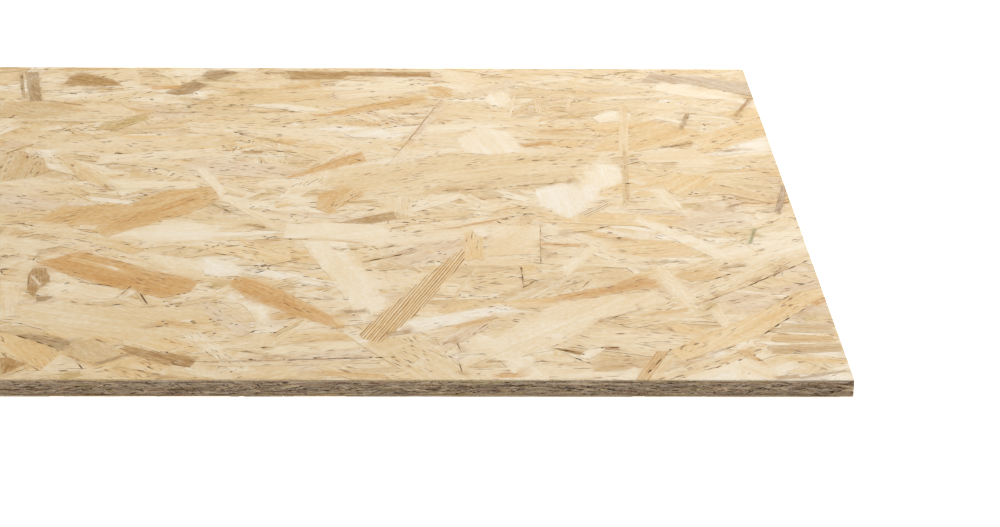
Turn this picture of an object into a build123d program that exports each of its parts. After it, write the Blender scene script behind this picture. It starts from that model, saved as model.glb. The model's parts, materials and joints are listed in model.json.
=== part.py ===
from build123d import *

import os

# A flat panel of oriented strand board. It is pressed as one mat and sawn square on all four
# edges, so it is one solid. It lies flat: X runs along its length, which is also the way its
# face strands lie, Y runs across its width, and Z goes up through its thickness. The origin is
# the middle of the underside.

# Driving dimensions, millimetres
PANEL_LENGTH = 1250.0
PANEL_WIDTH = 625.0
PANEL_THICKNESS = 12.0

# The saw leaves sharp arrises, and handling takes the point off them
ARRIS_BREAK = 0.3

PARTS_FOLDER = "parts"


def osb_panel() -> Part:
    """The sawn panel: its outline, pressed to thickness, with every arris just broken."""
    with BuildPart() as panel:
        with BuildSketch(Plane.XY):
            Rectangle(PANEL_LENGTH, PANEL_WIDTH)
        extrude(amount=PANEL_THICKNESS)
        chamfer(panel.edges(), ARRIS_BREAK)
    return panel.part


def main() -> None:
    """Writes each piece of the object to a STEP file of its own."""
    os.makedirs(PARTS_FOLDER, exist_ok=True)
    pieces = {"osb_panel": osb_panel()}
    for name, piece in pieces.items():
        export_step(piece, f"{PARTS_FOLDER}/{name}.step")


main()
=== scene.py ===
"""A panel of oriented strand board, dressed strand by strand.

Loose strands are laid at random over each face and each sawn edge by Geometry Nodes, together with the
strands that show most in the photograph. Each layer is then pressed into one closed skin: where strands
overlap, the topmost shows, a little higher than what it covers, and the gaps between them sink.
"""

from __future__ import annotations

import json
import logging
import math
import random
from dataclasses import dataclass, field
from enum import Enum

import bpy
import numpy as np
from mathutils import Matrix, Vector
from mathutils.geometry import delaunay_2d_cdt

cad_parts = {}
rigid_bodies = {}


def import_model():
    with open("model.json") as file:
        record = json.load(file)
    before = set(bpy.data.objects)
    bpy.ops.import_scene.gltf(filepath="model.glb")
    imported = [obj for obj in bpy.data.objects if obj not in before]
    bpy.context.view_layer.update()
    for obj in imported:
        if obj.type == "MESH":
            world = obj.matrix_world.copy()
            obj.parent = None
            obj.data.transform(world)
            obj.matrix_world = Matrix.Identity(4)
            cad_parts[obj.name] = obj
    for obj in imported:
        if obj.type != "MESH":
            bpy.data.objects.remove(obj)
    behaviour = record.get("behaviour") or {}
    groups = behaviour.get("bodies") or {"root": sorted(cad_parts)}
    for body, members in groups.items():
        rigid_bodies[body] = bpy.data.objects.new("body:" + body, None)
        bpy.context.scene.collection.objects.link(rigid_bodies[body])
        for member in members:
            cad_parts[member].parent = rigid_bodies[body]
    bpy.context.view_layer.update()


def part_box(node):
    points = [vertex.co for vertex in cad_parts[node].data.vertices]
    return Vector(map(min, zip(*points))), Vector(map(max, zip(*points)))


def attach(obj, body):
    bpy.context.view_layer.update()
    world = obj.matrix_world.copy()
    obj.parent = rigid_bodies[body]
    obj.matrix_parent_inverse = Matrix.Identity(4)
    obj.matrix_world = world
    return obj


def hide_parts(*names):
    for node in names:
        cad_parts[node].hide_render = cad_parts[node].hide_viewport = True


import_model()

LOG = logging.getLogger("osb_panel")

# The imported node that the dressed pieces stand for, its body and its finish
NODE = "osb_panel"
BODY = "root"

# One millimetre, in the scene's metres
MM = 0.001

# The photograph's frame, in pixels
PHOTO_WIDTH = 1000
PHOTO_HEIGHT = 527

Point = tuple[float, float]
Colour = tuple[float, float, float]
Way = tuple[int, int]
Socket = bpy.types.NodeSocket


class Tone(Enum):
    """Wood colours of the strands, and colours of the gaps between them that are painted shade in their
    depth, as a screen shows them, from 0 to 255.
    """

    WHITE = (245, 232, 209)
    CREAM = (244, 227, 196)
    PALE = (239, 216, 177)
    STRAW = (233, 206, 160)
    HONEY = (235, 202, 147)
    PINK = (229, 203, 167)
    ROSE = (208, 182, 148)
    WHEAT = (219, 187, 136)
    TAN = (224, 184, 123)
    ORANGE = (218, 169, 101)
    BROWN = (187, 143, 80)
    GREY = (184, 150, 101)
    OLIVE = (212, 181, 121)
    GREEN = (160, 150, 95)
    UMBER = (164, 126, 82)
    # Painted shade at the bottom of a gap
    GAP = (114, 82, 50)
    SAWN_LIGHT = (200, 176, 142)
    SAWN = (171, 147, 120)
    SAWN_GREY = (153, 136, 116)
    SAWN_RED = (145, 115, 91)
    SAWN_DARK = (120, 97, 73)
    SAWN_OLIVE = (168, 150, 104)
    # Painted shade deep in a void of a sawn edge
    VOID = (48, 34, 24)

    def linear(self) -> Colour:
        """The tone as the linear shares that light works with."""
        shares = (c / 255 for c in self.value)
        return tuple(c / 12.92 if c <= 0.04045 else ((c + 0.055) / 1.055) ** 2.4 for c in shares)


FACE_TONES: dict[Tone, float] = {
    Tone.WHITE: 3.0,
    Tone.CREAM: 14.0,
    Tone.PALE: 36.0,
    Tone.STRAW: 32.0,
    Tone.HONEY: 8.0,
    Tone.PINK: 9.0,
    Tone.WHEAT: 4.0,
    Tone.TAN: 1.2,
    Tone.ORANGE: 0.25,
}

SPLINTER_TONES: dict[Tone, float] = {
    Tone.CREAM: 16.0,
    Tone.PALE: 16.0,
    Tone.HONEY: 16.0,
    Tone.WHEAT: 16.0,
    Tone.TAN: 12.0,
    Tone.ORANGE: 5.0,
    Tone.GREY: 4.0,
    Tone.BROWN: 4.0,
    Tone.UMBER: 3.0,
    Tone.OLIVE: 2.0,
}

# Colours of the face's gaps and crevices: painted shade in their depth
GAP_SHADE_TONES: dict[Tone, float] = {Tone.GAP: 3.0, Tone.UMBER: 3.0, Tone.BROWN: 1.0}
PALE_TONES = (Tone.WHITE, Tone.CREAM, Tone.PALE, Tone.STRAW, Tone.PINK)

SAWN_TONES: dict[Tone, float] = {
    Tone.SAWN_LIGHT: 12.0,
    Tone.SAWN: 40.0,
    Tone.SAWN_GREY: 30.0,
    Tone.SAWN_RED: 12.0,
    Tone.SAWN_DARK: 12.0,
    Tone.SAWN_OLIVE: 6.0,
}

CHIP_TONES: dict[Tone, float] = {
    Tone.SAWN_LIGHT: 30.0,
    Tone.SAWN: 25.0,
    Tone.SAWN_RED: 25.0,
    Tone.SAWN_DARK: 25.0,
    Tone.SAWN_OLIVE: 18.0,
}

# Colours of the sawn edges' voids and seams: painted shade in their depth
VOID_SHADE_TONES: dict[Tone, float] = {Tone.VOID: 2.0, Tone.SAWN_DARK: 1.0}


# Width of a wedge's tip, of other right ends and of left ends, as shares of a strand's width
TIP_SHARES = (0.10, 0.45)
RIGHT_SHARES = (0.78, 1.0)
LEFT_SHARES = (0.80, 1.0)
# Where a strand's lower and upper side have a corner, and how far it lies in and out
BELOW_SHARES = (-0.2, 0.15)
ABOVE_SHARES = (0.18, -0.16)
IN_SHARE = 0.03
OUT_SHARE = 0.05
# How far an end slants, and how far back the teeth of a ragged end and of another reach
SLANT_SHARE = 0.05
RAGGED_SHARE = 0.10
TOOTH_SHARE = 0.04
# A split's place across from the middle, its depths, the clear room beside it, and its mouth
SPLIT_SHARE = 0.25
DEPTH_SHARES = (0.12, 0.35)
CLEAR_SHARE = 0.06
MOUTH_SHARE = 0.035
LIP_SHARES = (0.47, 0.48)
# A splinter's half widths, where they are measured below and above, and how far its points lie off
BELLY_SHARES = (0.32, 0.5)
UNDER_SHARES = (-0.2, 0.22)
OVER_SHARES = (0.2, -0.24)
POINT_SHARE = 0.2


class StrandShape(Enum):
    """How a strand ends, as its outline in a box one unit long and one unit wide."""

    CUT = "cut"
    RAGGED = "ragged"
    SPLIT = "split"
    WEDGE = "wedge"
    SLIVER = "sliver"

    def outline(self, rng: random.Random) -> list[Point]:
        """Draws one outline of this shape, anticlockwise.

        Args:
            rng: Where the unevenness comes from.

        Returns:
            The corners, with x along the strand.
        """
        if self is StrandShape.SLIVER:
            return self._lens(rng)
        narrow = rng.uniform(*(TIP_SHARES if self is StrandShape.WEDGE else RIGHT_SHARES))
        right = self._end(rng, narrow)
        left = [(-x, -y) for x, y in self._end(rng, rng.uniform(*LEFT_SHARES))]
        half = {x: 0.5 * (1.0 + (narrow - 1.0) * (x + 0.5)) for x in BELOW_SHARES + ABOVE_SHARES}
        lower = [(x, -half[x] + rng.uniform(-OUT_SHARE, IN_SHARE)) for x in BELOW_SHARES]
        upper = [(x, half[x] + rng.uniform(-IN_SHARE, OUT_SHARE)) for x in ABOVE_SHARES]
        return lower + right + upper + left

    def _end(self, rng: random.Random, wide: float) -> list[Point]:
        """Draws the right-hand end from its lower to its upper corner.

        Args:
            rng: Where the unevenness comes from.
            wide: The end's width as a share of the strand's.

        Returns:
            The end's corners.
        """
        slant = rng.uniform(-SLANT_SHARE, SLANT_SHARE)
        teeth = {StrandShape.CUT: 0, StrandShape.RAGGED: 4, StrandShape.SPLIT: 3, StrandShape.WEDGE: 1}[self]
        reach = RAGGED_SHARE if self is StrandShape.RAGGED else TOOTH_SHARE
        rows = [(-0.5 + k / (teeth + 1)) * wide for k in range(teeth + 2)]
        end = [(0.5 - abs(slant) + slant * 2.0 * y - rng.uniform(0.0, reach), y) for y in rows]
        if self is StrandShape.SPLIT:
            split = rng.uniform(-SPLIT_SHARE, SPLIT_SHARE) * wide
            depth = rng.uniform(*DEPTH_SHARES)
            end = [p for p in end if abs(p[1] - split) > CLEAR_SHARE]
            lips = [(LIP_SHARES[0], split - MOUTH_SHARE), (LIP_SHARES[1], split + MOUTH_SHARE)]
            end = sorted([*end, lips[0], (0.5 - depth, split), lips[1]], key=lambda p: p[1])
        return end

    @staticmethod
    def _lens(rng: random.Random) -> list[Point]:
        """Draws a splinter that is pointed at both ends.

        Args:
            rng: Where the unevenness comes from.

        Returns:
            The corners.
        """
        lower = [(x, -rng.uniform(*BELLY_SHARES)) for x in UNDER_SHARES]
        upper = [(x, rng.uniform(*BELLY_SHARES)) for x in OVER_SHARES]
        left, right = ((x, rng.uniform(-POINT_SHARE, POINT_SHARE)) for x in (-0.5, 0.5))
        return [left, *lower, right, *upper]


@dataclass(frozen=True)
class StrandKind:
    """One sort of strand that is laid at random: its sizes in metres, how many, and how they lie.

    Attributes:
        name: What a maker would call it.
        shapes: The outlines it comes in.
        per_area: Strands on each square metre.
        length: Shortest and longest.
        width: Narrowest and widest.
        swing: Spread of its direction about the field's length, in radians.
        ranks: Lowest and highest place in the mat, from 0 at the bottom to 1 at the face.
        tones: Wood colours and how often each comes.
        figure: Weakest and strongest growth-ring lines.
        band: Part of the field's width that it is laid in, as shares from the middle.
        is_gap: True for a gap, which sinks to the bed.
    """

    name: str
    shapes: tuple[StrandShape, ...]
    per_area: float
    length: tuple[float, float]
    width: tuple[float, float]
    swing: float
    ranks: tuple[float, float]
    tones: dict[Tone, float]
    figure: tuple[float, float] = (0.0, 0.12)
    band: tuple[float, float] = (-0.5, 0.5)
    is_gap: bool = False


@dataclass
class Strand:
    """A strand as it lies in a field: its outline, and what shows of its wood.

    Attributes:
        outline: Corners in the field, anticlockwise, in metres.
        rank: Place in the mat. A higher strand covers a lower one.
        turn: Direction of its fibres from the field's length, in radians.
        middle: Where its grain is measured from.
        tone: Linear colour.
        figure: Strength of its growth-ring lines, or -1 for clean wood.
        is_gap: True for a gap, which sinks to the bed.
        soft: Share of its neighbours' colour that it has at its edge.
    """

    outline: list[Point]
    rank: float
    turn: float
    middle: Point
    tone: Colour
    figure: float = 0.0
    is_gap: bool = False
    soft: float = 0.5

    def reach(self) -> tuple[float, float, float, float]:
        """Measures how far it reaches from its middle.

        Returns:
            Its reach back and forth along its fibres, then down and up across them.
        """
        cos, sin = math.cos(self.turn), math.sin(self.turn)
        away = [(x - self.middle[0], y - self.middle[1]) for x, y in self.outline]
        along = [x * cos + y * sin for x, y in away]
        across = [y * cos - x * sin for x, y in away]
        return min(along), max(along), min(across), max(across)


def turned(corners: list[Point], middle: Point, turn: float) -> list[Point]:
    """Turns corners about the origin by an angle in radians, and moves the origin to a middle."""
    cos, sin = math.cos(turn), math.sin(turn)
    return [(middle[0] + x * cos - y * sin, middle[1] + x * sin + y * cos) for x, y in corners]


def pick_tone(tones: dict[Tone, float], rng: random.Random, spread: float = 0.11) -> Colour:
    """Picks a wood colour and deepens or pales it a little, as no two strands are alike.

    Args:
        tones: Tones and how often each comes.
        rng: Where the choice comes from.
        spread: Largest change, as a power of the colour.

    Returns:
        The linear colour.
    """
    tone = rng.choices(list(tones), weights=list(tones.values()))[0]
    power = 1.0 + rng.uniform(-spread, spread)
    return tuple(c ** power for c in tone.linear())


class TreeSketch:
    """Adds nodes to a tree and joins them, so that a tree reads as a list of steps."""

    def __init__(self, tree: bpy.types.NodeTree) -> None:
        """Keeps the tree that the nodes go into."""
        self.tree = tree

    def add(self, kind: str, feeds: dict[str, object] | None = None, **settings: object) -> bpy.types.Node:
        """Adds a node, sets its properties and fills its inputs.

        Args:
            kind: The node's type name.
            feeds: What goes into its inputs. Of several with one name, the first in use is filled.
            settings: Properties of the node.

        Returns:
            The new node.
        """
        node = self.tree.nodes.new(kind)
        for name, value in settings.items():
            setattr(node, name, value)
        for name, value in (feeds or {}).items():
            self.fill(next(s for s in node.inputs if s.name == name and s.enabled), value)
        return node

    def fill(self, target: Socket, value: object) -> None:
        """Joins a socket to an input, or sets the input to a plain value.

        Args:
            target: The input.
            value: A socket or a plain value.
        """
        if isinstance(value, Socket):
            self.tree.links.new(value, target)
        else:
            target.default_value = value

    def out(self, node: bpy.types.Node, name: str = "") -> Socket:
        """The node's output of that name, or the first that is in use."""
        return next(s for s in node.outputs if s.enabled and name in ("", s.name))

    def math(self, operation: str, *values: object) -> Socket:
        """Adds a Math node.

        Args:
            operation: Blender's name for the operation.
            values: Sockets or numbers, in order.

        Returns:
            The result's socket.
        """
        node = self.add("ShaderNodeMath", operation=operation)
        for target, value in zip(node.inputs, values):
            self.fill(target, value)
        return node.outputs[0]


class LayingTree:
    """Geometry Nodes that lay strands at random over a flat field, each a copy of one of a few outlines."""

    INPUTS = {
        "Field Length": "NodeSocketFloat",
        "Field Width": "NodeSocketFloat",
        "Count": "NodeSocketInt",
        "Shortest": "NodeSocketFloat",
        "Longest": "NodeSocketFloat",
        "Narrowest": "NodeSocketFloat",
        "Widest": "NodeSocketFloat",
        "Swing": "NodeSocketFloat",
        "Seed": "NodeSocketInt",
        "Outlines": "NodeSocketCollection",
        "Wood": "NodeSocketMaterial",
    }

    # Largest number that an outline is picked by, which runs round the shelf of outlines
    PICKS = 1000

    def __init__(self) -> None:
        """Builds the tree."""
        self.tree = bpy.data.node_groups.new("lay_strands", "GeometryNodeTree")
        self.keys: dict[str, str] = {}
        face = self.tree.interface
        face.new_socket(name="Geometry", in_out="INPUT", socket_type="NodeSocketGeometry")
        for name, kind in self.INPUTS.items():
            self.keys[name] = face.new_socket(name=name, in_out="INPUT", socket_type=kind).identifier
        face.new_socket(name="Geometry", in_out="OUTPUT", socket_type="NodeSocketGeometry")
        self._sketch = TreeSketch(self.tree)
        self._group = self._sketch.add("NodeGroupInput")
        self._draws = 0
        self._build()

    def _given(self, name: str) -> Socket:
        """The tree's own input of that name."""
        return self._sketch.out(self._group, name)

    def _draw(self, low: object, high: object, kind: str = "FLOAT") -> Socket:
        """Adds a random draw for each strand, with a seed of its own.

        Args:
            low: Smallest value, a socket or a number.
            high: Largest value.
            kind: The value's data type.

        Returns:
            The drawn value.
        """
        self._draws += 1
        seed = self._sketch.math("ADD", self._given("Seed"), self._draws)
        feeds = {"Min": low, "Max": high, "Seed": seed}
        return self._sketch.out(self._sketch.add("FunctionNodeRandomValue", feeds, data_type=kind), "Value")

    def _store(self, points: Socket, name: str, value: Socket, kind: str = "FLOAT") -> Socket:
        """Keeps a drawn value on the points under a name, and gives the points on.

        Args:
            points: The points' socket.
            name: The attribute's name.
            value: The value's socket.
            kind: Its data type.

        Returns:
            The points with the attribute.
        """
        feeds = {"Geometry": points, "Name": name, "Value": value}
        node = self._sketch.add("GeometryNodeStoreNamedAttribute", feeds, data_type=kind, domain="POINT")
        return self._sketch.out(node)

    def _vector(self, **parts: object) -> Socket:
        """Joins X, Y and Z into one vector."""
        return self._sketch.add("ShaderNodeCombineXYZ", parts).outputs[0]

    def _corner(self, share: float) -> Socket:
        """Works out a corner of the field.

        Args:
            share: Share of its length and width, from the middle.

        Returns:
            The corner.
        """
        sides = (self._given("Field Length"), self._given("Field Width"))
        x, y = (self._sketch.math("MULTIPLY", side, share) for side in sides)
        return self._vector(X=x, Y=y)

    def _build(self) -> None:
        """Joins the steps: scatter, size and turn, copy the outlines, make them real, give them wood."""
        sketch = self._sketch
        place = self._draw(self._corner(-0.5), self._corner(0.5), "FLOAT_VECTOR")
        scatter = sketch.add("GeometryNodePoints", {"Count": self._given("Count"), "Position": place})

        swings = [self._draw(-1.0, 1.0) for _ in range(3)]
        bell = sketch.math("ADD", sketch.math("ADD", swings[0], swings[1]), swings[2])
        turn = sketch.math("MULTIPLY", bell, self._given("Swing"))
        ratio = sketch.math("DIVIDE", self._given("Widest"), self._given("Narrowest"))
        spread = sketch.math("POWER", ratio, self._draw(0.0, 1.0))
        width = sketch.math("MULTIPLY", spread, self._given("Narrowest"))
        length = self._draw(self._given("Shortest"), self._given("Longest"))

        points = self._store(sketch.out(scatter), "lay_turn", turn)
        points = self._store(points, "lay_middle", place, "FLOAT_VECTOR")
        points = self._store(points, "lay_chance", self._draw(0.0, 1.0))

        shelf = {"Collection": self._given("Outlines"), "Separate Children": True, "Reset Children": True}
        outlines = sketch.add("GeometryNodeCollectionInfo", shelf, transform_space="ORIGINAL")
        stored = sketch.add("GeometryNodeInputNamedAttribute", {"Name": "lay_turn"}, data_type="FLOAT")
        copies = sketch.add("GeometryNodeInstanceOnPoints", {
            "Points": points,
            "Instance": sketch.out(outlines),
            "Pick Instance": True,
            "Instance Index": self._draw(0, self.PICKS, "INT"),
            "Rotation": self._vector(Z=sketch.out(stored, "Attribute")),
            "Scale": self._vector(X=length, Y=width, Z=1.0),
        })
        real = sketch.add("GeometryNodeRealizeInstances", {"Geometry": sketch.out(copies)})
        dressed = {"Geometry": sketch.out(real), "Material": self._given("Wood")}
        wood = sketch.add("GeometryNodeSetMaterial", dressed)
        sketch.add("NodeGroupOutput", {"Geometry": sketch.out(wood)})

    def lay(self, values: dict[str, object]) -> bpy.types.Mesh:
        """Runs the tree once.

        Args:
            values: A value for each of the tree's inputs.

        Returns:
            A plain mesh with one face for each strand.
        """
        bench = bpy.data.objects.new("laying_bench", bpy.data.meshes.new("laying_bench"))
        bpy.context.scene.collection.objects.link(bench)
        modifier = bench.modifiers.new("lay", "NODES")
        modifier.node_group = self.tree
        for name, value in values.items():
            modifier[self.keys[name]] = value
        graph = bpy.context.evaluated_depsgraph_get()
        laid = bpy.data.meshes.new_from_object(bench.evaluated_get(graph))
        bench.modifiers.remove(modifier)
        old = bench.data
        bpy.data.objects.remove(bench)
        bpy.data.meshes.remove(old)
        return laid


@dataclass
class StrandLayer:
    """Lays kinds of strands over fields, and keeps the outlines that the laying copies.

    Attributes:
        laying: The tree that scatters them.
        wood: The finish that the laid strands carry.
        copies: Outlines drawn of each shape.
    """

    laying: LayingTree
    wood: bpy.types.Material
    copies: int = 8
    _shelves: dict[tuple[StrandShape, ...], bpy.types.Collection] = field(default_factory=dict)

    def lay(self, kind: StrandKind, length: float, width: float, seed: int) -> list[Strand]:
        """Lays one kind of strand over a field and a little past its ends, so that the saw cuts some.

        Args:
            kind: What is laid.
            length: The field's length.
            width: The field's width.
            seed: Fixes every draw.

        Returns:
            The strands, as they lie.
        """
        rng = random.Random(seed)
        long = length + kind.length[0]
        wide = width * (kind.band[1] - kind.band[0]) + kind.width[0]
        shift = width * (kind.band[1] + kind.band[0]) / 2
        mesh = self.laying.lay({
            "Field Length": long,
            "Field Width": wide,
            "Count": round(kind.per_area * long * wide),
            "Shortest": kind.length[0],
            "Longest": kind.length[1],
            "Narrowest": kind.width[0],
            "Widest": kind.width[1],
            "Swing": kind.swing,
            "Seed": seed,
            "Outlines": self._shelf(kind.shapes),
            "Wood": self.wood,
        })
        turns = mesh.attributes["lay_turn"].data
        middles = mesh.attributes["lay_middle"].data
        chances = mesh.attributes["lay_chance"].data
        low, high = kind.ranks
        strands = []
        for face in mesh.polygons:
            first = face.vertices[0]
            corners = [mesh.vertices[i].co for i in face.vertices]
            strands.append(Strand(
                outline=[(c.x, c.y + shift) for c in corners],
                rank=low + (high - low) * chances[first].value,
                turn=turns[first].value,
                middle=(middles[first].vector.x, middles[first].vector.y + shift),
                tone=pick_tone(kind.tones, rng),
                figure=rng.uniform(*kind.figure),
                is_gap=kind.is_gap,
            ))
        bpy.data.meshes.remove(mesh)
        LOG.debug("%d %s laid", len(strands), kind.name)
        return strands

    def _shelf(self, shapes: tuple[StrandShape, ...]) -> bpy.types.Collection:
        """Finds the outlines of some shapes, and draws them when they are first asked for.

        Args:
            shapes: The shapes.

        Returns:
            The collection of their outlines.
        """
        if shapes not in self._shelves:
            shelf = bpy.data.collections.new("outlines_" + "_".join(s.value for s in shapes))
            rng = random.Random(len(shapes))
            for shape in shapes:
                for number in range(self.copies):
                    corners = shape.outline(rng)
                    mesh = bpy.data.meshes.new(f"outline_{shape.value}_{number}")
                    mesh.from_pydata([(x, y, 0.0) for x, y in corners], [], [list(range(len(corners)))])
                    shelf.objects.link(bpy.data.objects.new(mesh.name, mesh))
            self._shelves[shapes] = shelf
        return self._shelves[shapes]

    def clear(self) -> None:
        """Removes the outlines once everything is laid."""
        for shelf in self._shelves.values():
            for sample in list(shelf.objects):
                mesh = sample.data
                bpy.data.objects.remove(sample)
                bpy.data.meshes.remove(mesh)
            bpy.data.collections.remove(shelf)
        self._shelves.clear()


@dataclass(frozen=True)
class Field:
    """A flat rectangle on the panel that strands are pressed into.

    Attributes:
        middle: Its middle, on the panel's surface.
        along: Unit direction of its length.
        across: Unit direction of its width.
        length: Its length in metres.
        width: Its width in metres.
        bake_face: Share of the bake map's height that it takes.
        bake_sides: Where the strip of the bake map for its sides starts, which ends at 1.
    """

    middle: Vector
    along: Vector
    across: Vector
    length: float
    width: float
    bake_face: float
    bake_sides: float

    # Where a side's faces start in its strip of the bake map, and the share of the strip that they take
    STRIP_START = 0.2
    STRIP_SHARE = 0.6

    def place(self, x: float, y: float, height: float) -> Vector:
        """A point of the field, at a height over the surface, in the panel's frame."""
        out = self.along.cross(self.across)
        return self.middle + self.along * x + self.across * y + out * height

    def bake(self, x: float, y: float) -> Point:
        """Where a point of the field falls in the bake map."""
        return (x / self.length + 0.5, (y / self.width + 0.5) * self.bake_face)

    def bake_side(self, x: float, y: float, side: int, share: float) -> Point:
        """Where a point of one of the field's four sides falls in the bake map.

        Args:
            x: Place along the field.
            y: Place across the field.
            side: The side's number, from the front round to the left.
            share: Height on the side, from 0 at its foot to 1 at the face.

        Returns:
            The place in the map.
        """
        way = y / self.width if side % 2 else x / self.length
        row = (side + self.STRIP_START + self.STRIP_SHARE * share) / 4
        return (way + 0.5, self.bake_sides + (1.0 - self.bake_sides) * row)

    def side(self, x: float, y: float) -> int:
        """The number of the side that a point near the border lies on, from the front round to the left."""
        gaps = (y + self.width / 2, self.length / 2 - x, self.width / 2 - y, x + self.length / 2)
        return gaps.index(min(gaps))


@dataclass
class Face:
    """One face of a piece: its corners, where they fall in the grain and bake maps, and its wood."""

    corners: list[int]
    grain: list[Point]
    bake: list[Point]
    tones: list[Colour]
    figure: float
    finish: int


@dataclass
class Piece:
    """A piece in the making: its points and faces, until it becomes a mesh object."""

    name: str
    points: list[Vector] = field(default_factory=list)
    faces: list[Face] = field(default_factory=list)

    def point(self, place: Vector) -> int:
        """Adds a point and gives its number."""
        self.points.append(place)
        return len(self.points) - 1

    def build(self, finishes: list[bpy.types.Material]) -> bpy.types.Object:
        """Makes the object, with the wood of each face as attributes that its finishes read.

        Args:
            finishes: The materials that the faces number.

        Returns:
            The object, linked to the scene.
        """
        mesh = bpy.data.meshes.new(self.name)
        mesh.from_pydata([tuple(p) for p in self.points], [], [f.corners for f in self.faces])
        for finish in finishes:
            mesh.materials.append(finish)
        mesh.polygons.foreach_set("material_index", [f.finish for f in self.faces])
        tone = mesh.attributes.new("tone", "FLOAT_COLOR", "CORNER")
        tone.data.foreach_set("color", [c for f in self.faces for t in f.tones for c in (*t, 1.0)])
        figure = mesh.attributes.new("figure", "FLOAT", "FACE")
        figure.data.foreach_set("value", [f.figure for f in self.faces])
        grain = mesh.uv_layers.new(name="grain")
        grain.data.foreach_set("uv", [c for f in self.faces for p in f.grain for c in p])
        bake = mesh.uv_layers.new(name="OFBake")
        bake.data.foreach_set("uv", [c for f in self.faces for p in f.bake for c in p])
        mesh.update()
        piece = bpy.data.objects.new(self.name, mesh)
        bpy.context.scene.collection.objects.link(piece)
        triangles = sum(len(f.corners) - 2 for f in self.faces)
        LOG.info("%s: %d points, %d triangles", self.name, len(self.points), triangles)
        return piece


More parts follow.
